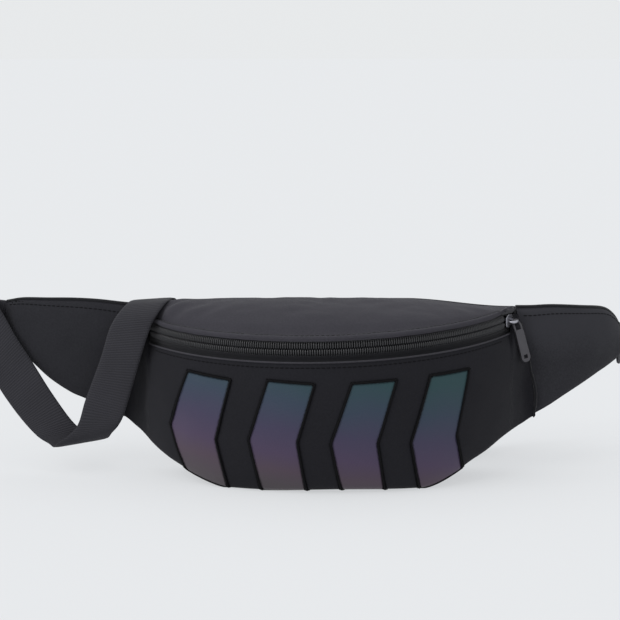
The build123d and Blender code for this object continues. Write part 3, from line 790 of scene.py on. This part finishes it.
def stitch_row(name, path, length=2.4, gap=0.9, radius=0.27):
    """A row of topstitches along a path, each a short thread that dives in at its ends."""
    path = np.asarray(path, float)
    along = distances(path)
    points, faces = [], []
    sides, rings = 5, len(STITCH_SHAPE)

    def at(distance):
        return np.array([np.interp(distance, along, path[:, k]) for k in range(3)])

    start = gap
    while start + length < along[-1]:
        a, b = at(start), at(start + length)
        ahead = (b - a) / max(np.linalg.norm(b - a), 1e-6)
        side = np.cross(ahead, (0.03, 0.11, 1.0))
        side /= np.linalg.norm(side)
        up = np.cross(side, ahead)
        base = len(points)
        for share, size in STITCH_SHAPE:
            points += circle(a + (b - a) * share, radius * size, side, up, sides)
        faces += ring_faces(base, rings, sides)
        faces.append(tuple(base + k for k in reversed(range(sides))))
        faces.append(tuple(base + (rings - 1) * sides + k for k in range(sides)))
        start += length + gap
    return new_object(name, points, faces)


def ribbon_mesh(name, edges, part=(0.0, 1.0), spacing=1.6, thickness=1.4, across=15):
    """All or part of a flat strap between two long edges, given as pairs of points."""
    pairs = np.array([[*p, *q] for p, q in edges], float)
    length = np.linalg.norm(np.diff(pairs[:, :3] + pairs[:, 3:], axis=0), axis=1).sum() / 2
    rows = int(length / spacing)
    line = smooth_path(pairs, rows)
    first, second = line[:, :3], line[:, 3:]
    middle = (first + second) / 2
    ahead = np.gradient(middle, axis=0)
    normal = np.cross(ahead, second - first)
    normal /= np.maximum(np.linalg.norm(normal, axis=1, keepdims=True), 1e-9)
    for k in range(1, rows):
        if normal[k] @ normal[k - 1] < -0.3:
            normal[k] = normal[k - 1]
    kept = slice(int(part[0] * (rows - 1)), int(part[1] * (rows - 1)) + 1)
    first, second, middle, normal = first[kept], second[kept], middle[kept], normal[kept]
    rows = len(middle)
    along = distances(middle)
    width = float(np.linalg.norm(second - first, axis=1).mean())
    shares = np.linspace(-1, 1, across)
    lift = thickness / 2 * np.sqrt(np.clip(1 - np.abs(shares) ** 7, 0.08, 1))
    loop = [(s, h) for s, h in zip(shares, lift)] + [(s, -h) for s, h in zip(shares[::-1], lift[::-1])]
    points, cloth = [], []
    for k in range(rows):
        for s, h in loop:
            points.append(middle[k] + (second[k] - first[k]) * s / 2 + normal[k] * h)
            cloth.append((along[k], (s + 1) * width / 2, 0))
    faces = grid_faces(rows, len(loop), closed_columns=True)
    faces.append(tuple(range(len(loop))))
    faces.append(tuple(reversed(range((rows - 1) * len(loop), rows * len(loop)))))
    piece = new_object(name, points, faces, cloth)
    return piece, along[-1] * MM, np.repeat(along / along[-1], len(loop))


def weigh(piece, body_a, body_b, weights):
    """Blend a piece between two bodies with a weight, 0 to 1, for each of its points."""
    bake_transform(piece, body_a, body_b, (0, 0, 0), (0, 0, 1))
    layer = piece.data.attributes["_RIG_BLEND"]
    layer.data.foreach_set("value", np.asarray(weights, np.float32))


def mesh_points(piece):
    flat = np.zeros(len(piece.data.vertices) * 3)
    piece.data.vertices.foreach_get("co", flat)
    return flat.reshape(-1, 3) / MM


LID_HELD = 106.0                    # outside this half width the top panel stays sewn down
LID_FREE = 66.0                     # and inside this one it lifts freely


def weigh_lid(piece):
    x = np.abs(mesh_points(piece)[:, 0])
    weigh(piece, "root", "lid", smoothstep((LID_HELD - x) / (LID_HELD - LID_FREE)))


# ---------------------------------------------------------------- top panel
LID_R = ZIP_R + 2.2
LID_EDGE = 5.4                      # its folded edge stands this far above the zip's centre line
LID_ROLL = 3.4                      # the fold's height, and how far back the flat cloth starts
# The highest line of the top panel, as (x, z).
CREST = [(-124, 112.6), (-98, 115.4), (-66, 117.6), (-40, 118.9), (0, 119.3), (35, 118.5), (66, 115.8),
         (98, 112.3), (114, 110.2), (124, 109.8)]


def back_edge_z(x):
    """Height of the back seam, where the top panel meets the back."""
    return 115.2 - (1.6 if x < 0 else 5.4) * float(smoothstep((abs(x) - 50) / 70))


def lid_section(x, samples):
    """The top panel at x, from its folded edge over the zip to the back seam."""
    y = min(arc_y(x, LID_R), FLANGE_Y)
    bottom = ZIP_Z + zip_height(x, y) + LID_EDGE
    bottom += 1.4 * math.exp(-((abs(x) - 117) / 6) ** 2)
    back_z = back_edge_z(x)
    end_y = BACK_Y - 0.5
    crest = max(float(np.interp(x, [a for a, z in CREST], [z for a, z in CREST])), back_z + 0.3)
    roll_z = min(bottom + LID_ROLL, crest - 0.6)
    rise = crest - roll_z
    start = min(y + LID_ROLL, end_y - 3.0)
    deep = end_y - start
    keys = [
        (y, bottom), (y - 0.8, bottom + 1.3), (y - 0.3, bottom + 2.7), (y + 1.2, roll_z - 0.2),
        (start, roll_z - 0.25), (start + 0.04 * deep, roll_z + 0.16 * rise),
        (start + 0.10 * deep, roll_z + 0.40 * rise), (start + 0.24 * deep, roll_z + 0.72 * rise),
        (start + 0.46 * deep, roll_z + 0.94 * rise), (start + 0.66 * deep, crest),
        (start + 0.86 * deep, crest * 0.55 + back_z * 0.45), (end_y, back_z),
    ]
    return smooth_path(keys, samples), start


def lid_columns(columns):
    turn = math.asin(HALF_TOP / LID_R)
    return [LID_R * math.sin(u * turn) for u in np.linspace(-1, 1, columns)]


def lid_grid(columns=161, rows=56):
    grid = np.zeros((columns, rows, 3))
    for i, x in enumerate(lid_columns(columns)):
        grid[i, :, 0] = x
        grid[i, :, 1:] = lid_section(x, rows)[0]
    normal = grid_normals(grid)
    out = grid.copy()
    for i in range(columns):
        for j in range(rows):
            x, y, z = grid[i, j]
            calm = smoothstep((j / rows - 0.16) / 0.2) * smoothstep((1 - j / rows) / 0.1)
            wave = 1.0 * ripple(x * 0.6, y * 1.7, z, 34.0, 5.0)
            wave += 0.5 * ripple(x, y * 1.5, z, 13.0, 8.0)
            left = smoothstep((-70 - x) / 34)
            fold = math.sin((y * 1.1 - x * 0.55 + 5 * ripple(x, y, z, 22, 6.0)) / 3.4) * left
            edge = 0.25 * ripple(x, y, z, 9.0, 11.0)
            out[i, j] += normal[i, j] * ((wave + 0.7 * fold) * float(calm) + edge)
    return out


def make_lid():
    grid = lid_grid()
    panel = sheet_object("lid_shell", grid, LID_THICK)
    # the lid gets the shell cloth painted lighter, for the light from above
    finish_piece(panel, "shell_top_painted_light", "shell_fabric", None, "top_panel")
    weigh_lid(panel)
    inner = offset_grid(grid[2:-2:2, 1::2], LID_LINING)
    lining = sheet_object("lid_lining", inner, 0.4)
    finish_piece(lining, "lining", "lining", None, "top_lining")
    weigh_lid(lining)
    line = []
    for x in lid_columns(221)[4:-4]:
        section, start = lid_section(x, 120)
        k = int(np.argmin(np.abs(section[:, 0] - start)))
        line.append((x, section[k, 0], section[k, 1] + 0.25))
    stitches = stitch_row("lid_topstitch", line)
    finish_piece(stitches, "thread_light", "stitching", None)
    weigh_lid(stitches)


# ---------------------------------------------------------------- zip
def on_zip(angle, radius, height):
    """A place at an angle from the front, a radius, and a height over the zip's centre line."""
    turn = math.radians(angle)
    y = ARC_Y - radius * math.cos(turn)
    base = ARC_Y - ZIP_R * math.cos(turn)
    return (radius * math.sin(turn), y, ZIP_Z + zip_height(ZIP_R * math.sin(turn), base) + height)


def tape_strip(name, low, high, radius_low, radius_high):
    """A zip tape between two heights, with fine ridges along it, and its grid."""
    columns, rows = 161, 9
    grid = np.zeros((columns, rows, 3))
    for i, angle in enumerate(np.linspace(-ZIP_END, ZIP_END, columns)):
        for j, share in enumerate(np.linspace(0, 1, rows)):
            radius = radius_low + share * (radius_high - radius_low)
            ridge = 0.35 * math.sin(share * math.pi * 3)
            grid[i, j] = on_zip(angle, radius + ridge, low + share * (high - low))
    return sheet_object(name, grid, TAPE_THICK), grid


TOOTH_PITCH = 1.5
TEETH_SHORT = 2.6                   # degrees that the coils stop short of, under the slider
# A tooth's profile: height from the centre line, how far it stands out, its thickness.
TOOTH = [(4.5, 0.10, 0.38), (3.6, 0.95, 0.48), (2.2, 1.40, 0.54), (0.9, 1.35, 0.54),
         (0.2, 0.85, 0.44), (-0.5, 0.1, 0.26)]


def tooth_row(name, side, shift):
    """One half of the coil: a bent loop of thread for each tooth."""
    pitch = math.degrees(TOOTH_PITCH / ZIP_R)
    points, faces = [], []
    sides = 6
    angle = -TEETH_END + shift * pitch
    while angle < TEETH_END - TEETH_SHORT:
        base = len(points)
        turn = math.radians(angle)
        ahead = np.array([math.cos(turn), math.sin(turn), 0])
        outward = np.array([math.sin(turn), -math.cos(turn), 0.25 * side])
        for height, out, size in TOOTH:
            centre = np.array(on_zip(angle, ZIP_R + out, side * height))
            points += circle(centre, size, ahead, outward, sides)
        faces += ring_faces(base, len(TOOTH), sides)
        faces.append(tuple(base + k for k in range(sides)))
        faces.append(tuple(base + (len(TOOTH) - 1) * sides + k for k in range(sides)))
        angle += pitch
    return new_object(name, points, faces)


POUCH_FOLD_DOWN = 8.3               # the front panel's folded edge, under the zip's centre line
TOPSTITCH_DOWN = 3.2                # the topstitch, down the front from that edge


def make_zip():
    upper, grid = tape_strip("tape_upper", 3.6, 7.6, ZIP_R + 0.2, ZIP_R + 0.6)
    finish_piece(upper, "tape", "tape", None, "zip_tape_upper")
    weigh_lid(upper)
    lower, grid = tape_strip("tape_lower", -10.4, -3.6, ZIP_R + 1.0, ZIP_R + 0.2)
    finish_piece(lower, "tape", "tape", "root", "zip_tape_lower")
    coil_upper = tooth_row("coil_upper", 1, 0.0)
    finish_piece(coil_upper, "coil", "zip_coil", None, "zip_coil_upper")
    weigh_lid(coil_upper)
    coil_lower = tooth_row("coil_lower", -1, 0.5)
    finish_piece(coil_lower, "coil", "zip_coil", "root", "zip_coil_lower")
    for side, name in ((-1, "left"), (1, "right")):
        end = side * (TEETH_END + 2.1)
        path = [on_zip(end + side * t, ZIP_R + 0.9, h) for t, h in
                ((0, -3.0), (0.25, -1.2), (0, 0.2), (0.25, 1.6), (0, 3.0))]
        bar = tube_object(f"zip_tack_{name}", smooth_path(path, 20), 0.7, 8)
        finish_piece(bar, "thread", "zip_coil", "root", f"zip_end_{name}")
    edge = [on_zip(a, FOLD_R + 0.1, -POUCH_FOLD_DOWN) for a in np.linspace(-60.0, 60.0, 240)]
    fold = tube_object("pouch_fold_edge", edge, 0.6, 8)
    # the fold edge gets the lighter edge cloth, a painted highlight along the fold
    finish_piece(fold, "edge", "shell_fabric", "root")
    line = [FRONT.at(x, TOPSTITCH_DOWN, 0.1)[0] for x in np.linspace(-115, 115, 300)]
    finish_piece(stitch_row("pouch_topstitch", line), "thread", "stitching", "root")


# ---------------------------------------------------------------- slider and puller
def local_place(angle, radius):
    """A frame on the zip: x along it towards +X, y up, z out of the bag."""
    turn = math.radians(angle)
    rise = math.sin(turn) * ZIP_TILT + math.cos(turn) * ZIP_ROLL
    x_axis = Vector((math.cos(turn), math.sin(turn), rise)).normalized()
    z_axis = Vector((math.sin(turn), -math.cos(turn), 0))
    y_axis = z_axis.cross(x_axis)
    matrix = Matrix((x_axis, y_axis, z_axis)).transposed().to_4x4()
    matrix.translation = Vector(on_zip(angle, radius, 0)) * MM
    return matrix


def rounded(points, radius, steps=5):
    """A closed outline with its corners rounded."""
    out = []
    count = len(points)
    for i in range(count):
        before, here, after = (Vector(points[(i + k) % count]) for k in (-1, 0, 1))
        a = (before - here).normalized() * radius
        b = (after - here).normalized() * radius
        for k in range(steps + 1):
            t = k / steps
            out.append(here + a * (1 - t) ** 2 + b * t ** 2)
    return out


def plate_object(name, loops, thickness, bevel, matrix):
    """A flat plate with holes and rounded edges, its outlines given in millimetres."""
    curve = bpy.data.curves.new(name, "CURVE")
    curve.dimensions = "2D"
    curve.fill_mode = "BOTH"
    curve.extrude = (thickness / 2 - bevel) * MM
    curve.bevel_depth = bevel * MM
    curve.bevel_resolution = 2
    for loop in loops:
        spline = curve.splines.new("POLY")
        spline.points.add(len(loop) - 1)
        for point, place in zip(spline.points, loop):
            point.co = (place[0] * MM, place[1] * MM, 0, 1)
        spline.use_cyclic_u = True
    holder = bpy.data.objects.new(name + "_curve", curve)
    bpy.context.collection.objects.link(holder)
    mesh = bpy.data.meshes.new_from_object(holder)
    mesh.name = name
    bpy.data.objects.remove(holder)
    bpy.data.curves.remove(curve)
    mesh.transform(matrix)
    piece = bpy.data.objects.new(name, mesh)
    bpy.context.collection.objects.link(piece)
    mesh.polygons.foreach_set("use_smooth", [True] * len(mesh.polygons))
    return piece


def split_edges(piece):
    """Keep a smooth-shaded piece's sharp edges sharp."""
    piece.modifiers.new("split", "EDGE_SPLIT").split_angle = math.radians(40)


def raised(matrix, z):
    return matrix @ Matrix.Translation((0, 0, z * MM))


BAIL_STANDS = 7.6                   # the bail's crown, over the zip's surface
# How the puller hangs, in degrees: out of the bag at its foot, to one side, and turned about its length.
PULLER_LEAN, PULLER_SWING, PULLER_TURN = -13.0, 3.0, -34.0


def make_slider():
    frame_here = local_place(PARK_ANGLE, ZIP_R)
    outline = rounded([(-4.6, -3.0), (-2.0, -4.3), (3.2, -3.7), (4.9, -2.0), (4.9, 2.0),
                       (3.2, 3.7), (-2.0, 4.3), (-4.6, 3.0)], 0.8)
    front = plate_object("slider_front", [outline], 1.3, 0.35, raised(frame_here, 2.35))
    back = plate_object("slider_rear", [outline], 1.2, 0.3, raised(frame_here, -2.15))
    post = plate_object("slider_post", [rounded([(2.6, -1.0), (4.8, -1.0), (4.8, 1.0), (2.6, 1.0)], 0.5)],
                        3.6, 0.1, frame_here)
    body = join("slider_body", [front, back, post])
    split_edges(body)
    finish_piece(body, "metal", "slider_metal", "slider", "zip_slider")
    arch = smooth_path([(-3.6, 0, 2.6), (-3.6, 0, 4.8), (-3.1, 0, 6.9), (-1.4, 0, 7.8), (1.4, 0, 7.8),
                        (3.1, 0, 6.9), (3.6, 0, 4.8), (3.6, 0, 2.6)], 40)
    bail = tube_object("slider_bridge", arch, 0.95, 12)
    bail.data.transform(frame_here)
    finish_piece(bail, "metal", "slider_metal", "slider", "slider_bail")

    pivot = local_place(PARK_ANGLE, ZIP_R + BAIL_STANDS)
    hang = pivot @ Matrix.Rotation(math.radians(PULLER_LEAN), 4, "X")
    twist = hang @ Matrix.Rotation(math.radians(PULLER_SWING), 4, "Z")
    twist = twist @ Matrix.Rotation(math.radians(PULLER_TURN), 4, "Y")
    tab = rounded([(-2.6, -6.2), (2.6, -6.2), (2.9, -25.6), (1.4, -27.4), (-1.4, -27.4),
                   (-2.9, -25.6)], 0.8)
    slot = rounded([(-1.9, -26.0), (1.9, -26.0), (1.9, -22.6), (-1.9, -22.6)], 0.6)
    plate = plate_object("puller_plate", [tab, slot], 2.3, 0.6, twist)
    loop = smooth_path([(-2.3, -7.4, 0), (-2.5, -3.6, -0.2), (-2.2, -0.9, -1.5), (-1.2, 0.5, -3.0),
                        (1.2, 0.5, -3.0), (2.2, -0.9, -1.5), (2.5, -3.6, -0.2), (2.3, -7.4, 0)], 44)
    ring = tube_object("puller_loop", loop, 0.85, 10)
    ring.data.transform(twist)
    puller = join("puller_tab", [plate, ring])
    split_edges(puller)
    finish_piece(puller, "enamel", "puller_enamel", "puller_tab", "puller")


# ---------------------------------------------------------------- wings
WING_MID_Y = 33.5                   # the wings' middle surface at the seams
WELT_FOOT_Z = SEAM_FOOT_Z + 2.4     # the welt beside each wing
WELT_TALL, WELT_R, WELT_BULGE = 59.5, 0.95, 1.6
WING_LENGTH, WING_START = 92.0, 131.0           # along the wing, and where it starts
WING_THICK = 4.5                    # half its thickness where it is fullest
BINDING_R = 1.25
WING_BEND_FROM, WING_BEND_LONG = 124.0, 26.0    # where a folding wing bends, from the middle plane
# Each wing curves back from the angle start to the angle end; low and top are its long edges, (x, z).
LEFT_WING = {
    "side": -1, "name": "left", "start": 5.0, "end": 25.0,
    "low": [(137.9, 38.2), (150, 41.4), (165, 47.3), (175, 51.2), (189, 59.6), (200, 68.8), (212, 79),
            (219, 84)],
    "top": [(124.4, 111.4), (137, 112.2), (155, 113.8), (172, 114.2), (190, 113.6), (207, 112.9),
            (219, 110.5)],
}
RIGHT_WING = {
    "side": 1, "name": "right", "start": 10.0, "end": 60.0,
    "low": [(137.9, 37.4), (148, 42.4), (160, 49.2), (178, 58.4), (196, 67.2), (202.6, 71)],
    "top": [(124.4, 110.2), (135, 110.0), (150, 110.0), (170, 108.0), (187, 105.2), (196, 99),
            (201.5, 90), (203.6, 80)],
}


def wing_arc(wing):
    """Radius and centre of the arc that the wing follows, seen from above."""
    radius = WING_LENGTH / math.radians(wing["end"] - wing["start"])
    start = math.radians(wing["start"])
    return radius, WING_START - radius * math.sin(start), WING_MID_Y + radius * math.cos(start)


def wing_y(wing, x):
    radius, centre_x, centre_y = wing_arc(wing)
    span = min(abs(x) - centre_x, radius * 0.999)
    return centre_y - math.sqrt(radius ** 2 - span ** 2)


def wing_grid(wing, columns=64, rows=40):
    """The wing's middle surface, and half its thickness at each place."""
    low = smooth_path(wing["low"], columns)
    top = smooth_path(wing["top"], columns)
    grid = np.zeros((columns, rows, 3))
    half = np.zeros((columns, rows))
    for i in range(columns):
        for j in range(rows):
            share = j / (rows - 1)
            x, z = low[i] * (1 - share) + top[i] * share
            grid[i, j] = (wing["side"] * x, wing_y(wing, x), z)
            edge = (1 - abs(2 * share - 1) ** 2.6) ** 0.5
            ends = 0.62 + 0.38 * float(smoothstep(i / 7))
            ends *= 0.45 + 0.55 * float(smoothstep((columns - 1 - i) / 6))
            half[i, j] = 0.35 + WING_THICK * edge * ends
    return grid, half


def make_wing(wing):
    grid, half = wing_grid(wing)
    columns, rows, _ = grid.shape
    side = wing["side"]
    normal = grid_normals(grid)
    if normal[5, 5, 1] > 0:
        normal = -normal
    front = np.zeros_like(grid)
    back = np.zeros_like(grid)
    for i in range(columns):
        for j in range(rows):
            x, y, z = grid[i, j]
            calm = float(smoothstep(half[i, j] / 3.0))
            wave = 0.9 * ripple(x * 0.8, y, z * 1.2, 30.0, 2.0 + side) + 0.35 * ripple(x, y, z, 12.0, 5.0)
            near = math.exp(-i / 12.0)
            pucker = 0.5 * math.sin(z / 4.3 + 2 * ripple(x, y, z, 20, 3.0)) * near
            front[i, j] = grid[i, j] + normal[i, j] * (half[i, j] + (wave + pucker) * calm)
            back[i, j] = grid[i, j] - normal[i, j] * (half[i, j] - 0.5 * wave * calm)
    name = wing["name"]
    body = f"wing_{name}"
    piece = shell_object(f"{body}_pad", front, back, grid, flip=side < 0)
    # the wings get the shell cloth painted lighter; the right wing's copy is also painted lighter towards
    # its top
    finish_piece(piece, "shell_wing_painted_light" if side < 0 else "shell_wing_right_painted_light", "shell_fabric", None,
                 f"{body}_front", f"{body}_foam", f"{body}_back")
    weigh_wing(piece, body)

    binding_path = [grid[i, rows - 1] + np.array([0, 0, 0.2]) for i in range(columns)]
    if side > 0:
        binding_path += [grid[columns - 1, j] for j in range(rows - 2, -1, -2)]
    binding = tube_object(f"{body}_binding", smooth_path(binding_path, 110), BINDING_R, 8)
    finish_piece(binding, "tape", "tape", None)
    weigh_wing(binding, body)
    stitches = [front[i, rows - 4] - np.array([0, 0.15, 0]) for i in range(2, columns - 1)]
    row = stitch_row(f"{body}_topstitch", smooth_path(stitches, 160))
    finish_piece(row, "thread", "stitching", None)
    weigh_wing(row, body)

    welt_path = []
    for share in np.linspace(0, 1, 50):
        z = WELT_FOOT_Z + share * WELT_TALL
        bulge = WELT_BULGE * math.sin(math.pi * min(share * 2.2, 1.0))
        welt_path.append((side * (seam_x(z) + 0.3 + bulge), FLANGE_Y + 0.3, z))
    welt = tube_object(f"seam_welt_{name}", welt_path, WELT_R, 8)
    finish_piece(welt, "tape", "shell_fabric", "root")


def weigh_wing(piece, body):
    x = np.abs(mesh_points(piece)[:, 0])
    weigh(piece, "root", body, smoothstep((x - WING_BEND_FROM) / WING_BEND_LONG))


# ---------------------------------------------------------------- back
QUILT_X = 46                        # half width at the back pad's two sewn grooves


def make_back():
    columns, rows = 131, 49
    outer = np.zeros((columns, rows, 3))
    inner = np.zeros((columns, rows, 3))
    for i, x in enumerate(dense_ends(HALF_WIDE - 0.4, columns)):
        high = min(back_edge_z(x) - 0.6, seam_z(x))
        foot = min(keel_z(x) + 0.12 * (high - keel_z(x)), high - 0.4)
        for j, z in enumerate(np.linspace(foot, high, rows)):
            edge = (1 - abs(x / HALF_WIDE) ** 8) * (1 - abs(2 * j / (rows - 1) - 1) ** 6)
            groove = math.exp(-((abs(x) - QUILT_X) / 1.6) ** 2) * float(smoothstep((112 - z) / 6))
            puff = 2.6 * edge - 2.0 * groove * edge + 0.3 * ripple(x, 0, z, 26.0, 4.0)
            outer[i, j] = (x, BACK_Y + puff - 0.6, z)
            inner[i, j] = (x * 0.985, BACK_Y - 4.6, z)
    pad = shell_object("back_pad", outer, inner, outer, flip=True)
    finish_piece(pad, "mesh", "shell_fabric", "root", "back_panel", "back_foam")

    lining_grid = inner[4:-4:2, 2:-2:2] - np.array([0, 0.6, 0])
    lining = sheet_object("back_inner", lining_grid, 0.4)
    finish_piece(lining, "lining", "lining", "root", "back_lining")
    edge = [outer[cell] + np.array([0, 0.3, 0]) for cell in rim_cells(columns, rows)]
    piping = tube_object("back_piping", edge, 1.1, 8, closed=True)
    finish_piece(piping, "tape", "tape", "root")
    for number, x in enumerate((-QUILT_X, QUILT_X), start=1):
        line = [(x, BACK_Y + 0.15, z) for z in np.linspace(19, 107, 40)]
        finish_piece(stitch_row(f"back_quilting_{number}", line), "thread", "stitching", "root")
    bind_low, bind_high = node_box("seam_binding")
    grid = np.zeros((60, 5, 3))
    for i, x in enumerate(np.linspace(bind_low[0], bind_high[0], 60)):
        for j, z in enumerate(np.linspace(bind_low[2], bind_high[2], 5)):
            grid[i, j] = (x, bind_low[1] + 0.25 * math.sin(j * math.pi / 4), z)
    tape = sheet_object("inner_binding", grid, 0.5)
    finish_piece(tape, "tape", "tape", "root", "seam_binding")


# ---------------------------------------------------------------- belt
NEAR_Y, FAR_Y = 52.0, 78.0          # the two edges of the belt's run along the floor


def straight(x, z, inset=0.5):
    """The strap's two edge points where it runs straight along the floor."""
    return (x, FAR_Y - inset, z), (x, NEAR_Y + inset, z)


# The straps' paths, as pairs of points on their two edges.
BELT_LEFT = [
    ((-217, 58, 111), (-217, 58, 86)),
    ((-226, 57.5, 112), (-238, 59.5, 87)),
    ((-228, 54, 112.5), (-241.5, 56, 86.5)),
    ((-226, 50.5, 111), (-240, 52, 83.5)),
    ((-219.5, 47.5, 101.5), (-238, 50, 79)),
    ((-211.5, 44, 88), (-231.5, 46.5, 67)),
    ((-199.6, 40, 70.5), (-221.5, 42, 50.5)),
    ((-186, 34, 50.5), (-208.5, 36.5, 34)),
    ((-170.5, 27.5, 31.5), (-196.5, 29.5, 23)),
    ((-157, 23, 24.5), (-188, 24, 19)),
    ((-148.5, 18.5, 24), (-184, 20, 17.5)),
    ((-144.5, 14, 28.5), (-180.5, 16, 21)),
    ((-139.5, 11, 34.5), (-168, 15.5, 32.3)),
    ((-135, 11, 44.6), (-161.8, 16, 50.7)),
    ((-124.8, 11, 78.7), (-152, 18.5, 77)),
    ((-118, 12, 99.5), (-146.5, 22, 95.5)),
    ((-113.5, 13, 108), (-142, 24.5, 104.5)),
    ((-108.5, 20.5, 114.4), (-137, 29, 110.6)),
    ((-105.5, 30, 115.6), (-134, 34, 113.2)),
    ((-103.5, 38, 115.4), (-132.5, 39.5, 113.2)),
    ((-101.5, 42.5, 111.5), (-130, 43, 108.5)),
    ((-97, 44, 100), (-124.5, 44, 100)),
    ((-81, 43.5, 60), (-108.5, 43.5, 60)),
    ((-61, 43, 10), (-88.5, 43, 10)),
    ((-58, 46, 2.5), (-86, 46, 2.5)),
    ((-55.5, 51, 1.1), (-83.5, 51, 1.1)),
    ((-44.5, FAR_Y, 1.1), (-83, NEAR_Y, 1.1)),
    ((-45.5, FAR_Y + 0.6, 2.2), (-84, NEAR_Y + 0.6, 2.2)),
    ((-42.5, FAR_Y, 3.3), (-81, NEAR_Y, 3.3)),
    straight(-36, 3.4, 0), straight(-26, 1.6), straight(-20, 4.7), straight(-12.6, 4.7),
    straight(-10.3, 3.4), straight(-10.2, 0.9),
]
BELT_RIGHT = [
    straight(41, 4.1), straight(47, 4.1), straight(56, 2.5, 0.8), straight(68, 2.5, 0.8),
    straight(80, 2.5, 0.8),
    ((90, 84, 3.6), (88, 59.5, 8)),
    ((101, 92, 9.5), (96.5, 69.5, 19)),
    ((113, 101, 19.5), (104.5, 83.5, 35.5)),
    ((127, 110, 33.5), (117.5, 98.5, 53)),
    ((143, 117, 47), (135, 110.5, 70.5)),
    ((162, 121.5, 57.5), (156.5, 118.5, 82)),
    ((180, 122, 65), (177, 120, 90)),
    ((196, 117.5, 66.5), (194.5, 116.5, 91.5)),
    ((205, 109, 65), (204.5, 108, 90)),
    ((206.5, 99, 63.5), (206.5, 98.5, 88.5)),
    ((204, 88, 62.5), (204, 88, 86.5)),
    ((201, 79.8, 64.5), (201, 79.8, 86)),
]
BELT_RIGHT_SPLIT = 0.56             # up to this share of its length it can follow the buckle's plug
BELT_TAIL = [
    straight(41, 6.4), straight(48, 6.4), straight(57, 4.7, 0.8), straight(76, 4.5, 0.8),
    straight(82, 6.2, 0.8),
]


def box_stitch(name, corner, wide, tall, normal):
    """A sewn box with a cross in it, from one corner and its two sides."""
    corner, wide, tall, normal = (np.array(v, float) for v in (corner, wide, tall, normal))
    corner = corner + normal
    marks = [(0, 0), (1, 0), (1, 1), (0, 1), (0, 0), (1, 1)]
    lines = [[corner + wide * a[0] + tall * a[1], corner + wide * b[0] + tall * b[1]]
             for a, b in zip(marks, marks[1:])]
    lines.append([corner + wide, corner + tall])
    return join(name, [stitch_row(f"{name}_{k}", resample(np.array(line), 12), 2.0, 0.6, 0.28)
                       for k, line in enumerate(lines)])


def make_belt():
    left, length, share = ribbon_mesh("belt_strap_left", BELT_LEFT)
    finish_piece(left, "webbing", "webbing", None, "belt_left")
    weigh(left, "root", "wing_left", 1 - smoothstep((share - 0.03) / 0.19))
    floor, length, share = ribbon_mesh("belt_strap_right", BELT_RIGHT, (0.0, BELT_RIGHT_SPLIT))
    finish_piece(floor, "webbing", "webbing", None, "belt_right")
    weigh(floor, "root", "buckle_plug", 1 - smoothstep((share - 0.28) / 0.66))
    tip, length, share = ribbon_mesh("belt_strap_tip", BELT_RIGHT, (BELT_RIGHT_SPLIT, 1.0))
    finish_piece(tip, "webbing", "webbing", None, "belt_right")
    weigh(tip, "root", "wing_right", smoothstep((share - 0.05) / 0.75))
    tail, length, share = ribbon_mesh("belt_loose_end", BELT_TAIL)
    finish_piece(tail, "webbing", "webbing", "buckle_plug", "belt_tail")

    sewn = box_stitch("belt_box_stitch", (-215.0, 53.6, 93.5), (9.0, -3.6, 0), (0, 0, 18.0), (0, -0.9, 0))
    finish_piece(sewn, "thread", "stitching", "wing_left")


KEEPER_HALF = 4.0                   # half the keeper's width along the strap


def make_keeper():
    """The webbing loop that holds the belt's loose end."""
    low, high = node_box("belt_keeper")
    middle = (low + high) / 2
    half_y, half_z = (high[1] - low[1]) / 2 - 0.6, (high[2] - low[2]) / 2 - 0.6
    steps = 72
    loop = []
    for k in range(steps):
        turn = 2 * math.pi * k / steps
        c, t = math.cos(turn), math.sin(turn)
        loop.append((middle[1] + half_y * math.copysign(abs(c) ** 0.25, c),
                     middle[2] + half_z * math.copysign(abs(t) ** 0.4, t)))
    shares = np.linspace(-1, 1, 9)
    points, cloth = [], []
    for k, (y, z) in enumerate(loop):
        out = np.array([0, (y - middle[1]) / half_y, (z - middle[2]) / half_z])
        out /= np.linalg.norm(out)
        ring = [(s, 0.55 * math.sqrt(max(1 - abs(s) ** 7, 0.1))) for s in shares]
        ring += [(s, -h) for s, h in ring[::-1]]
        for s, h in ring:
            points.append(np.array([middle[0] + KEEPER_HALF * s, y, z]) + out * h)
            cloth.append((k * 1.1, s * KEEPER_HALF, 0))
    faces = grid_faces(steps, len(ring), closed_rows=True, closed_columns=True)
    keeper = new_object("belt_loop_keeper", points, faces, cloth)
    finish_piece(keeper, "webbing", "webbing", "keeper", "belt_keeper")


def make_buckle():
    """The buckle keeps its CAD shape, with moulded edges."""
    for name in ("buckle_female", "buckle_male", "buckle_arm_front", "buckle_arm_rear"):
        piece = bpy.data.objects[name]
        piece.data.materials.clear()
        piece.data.materials.append(MATERIALS["plastic"])
        bevel = piece.modifiers.new("moulded_edges", "BEVEL")
        bevel.width = 0.55 * MM
        bevel.segments = 2
        bevel.limit_method = "ANGLE"
        bevel.angle_limit = math.radians(35)


make_camera()
make_stage()
make_materials()
POUCH = pouch_crease(pouch_grid(columns=201, rows=84))
FRONT = Surface(POUCH)
make_pouch()
make_chevrons()
make_lid()
make_zip()
make_slider()
for wing in (LEFT_WING, RIGHT_WING):
    make_wing(wing)
make_back()
make_belt()
make_keeper()
make_buckle()
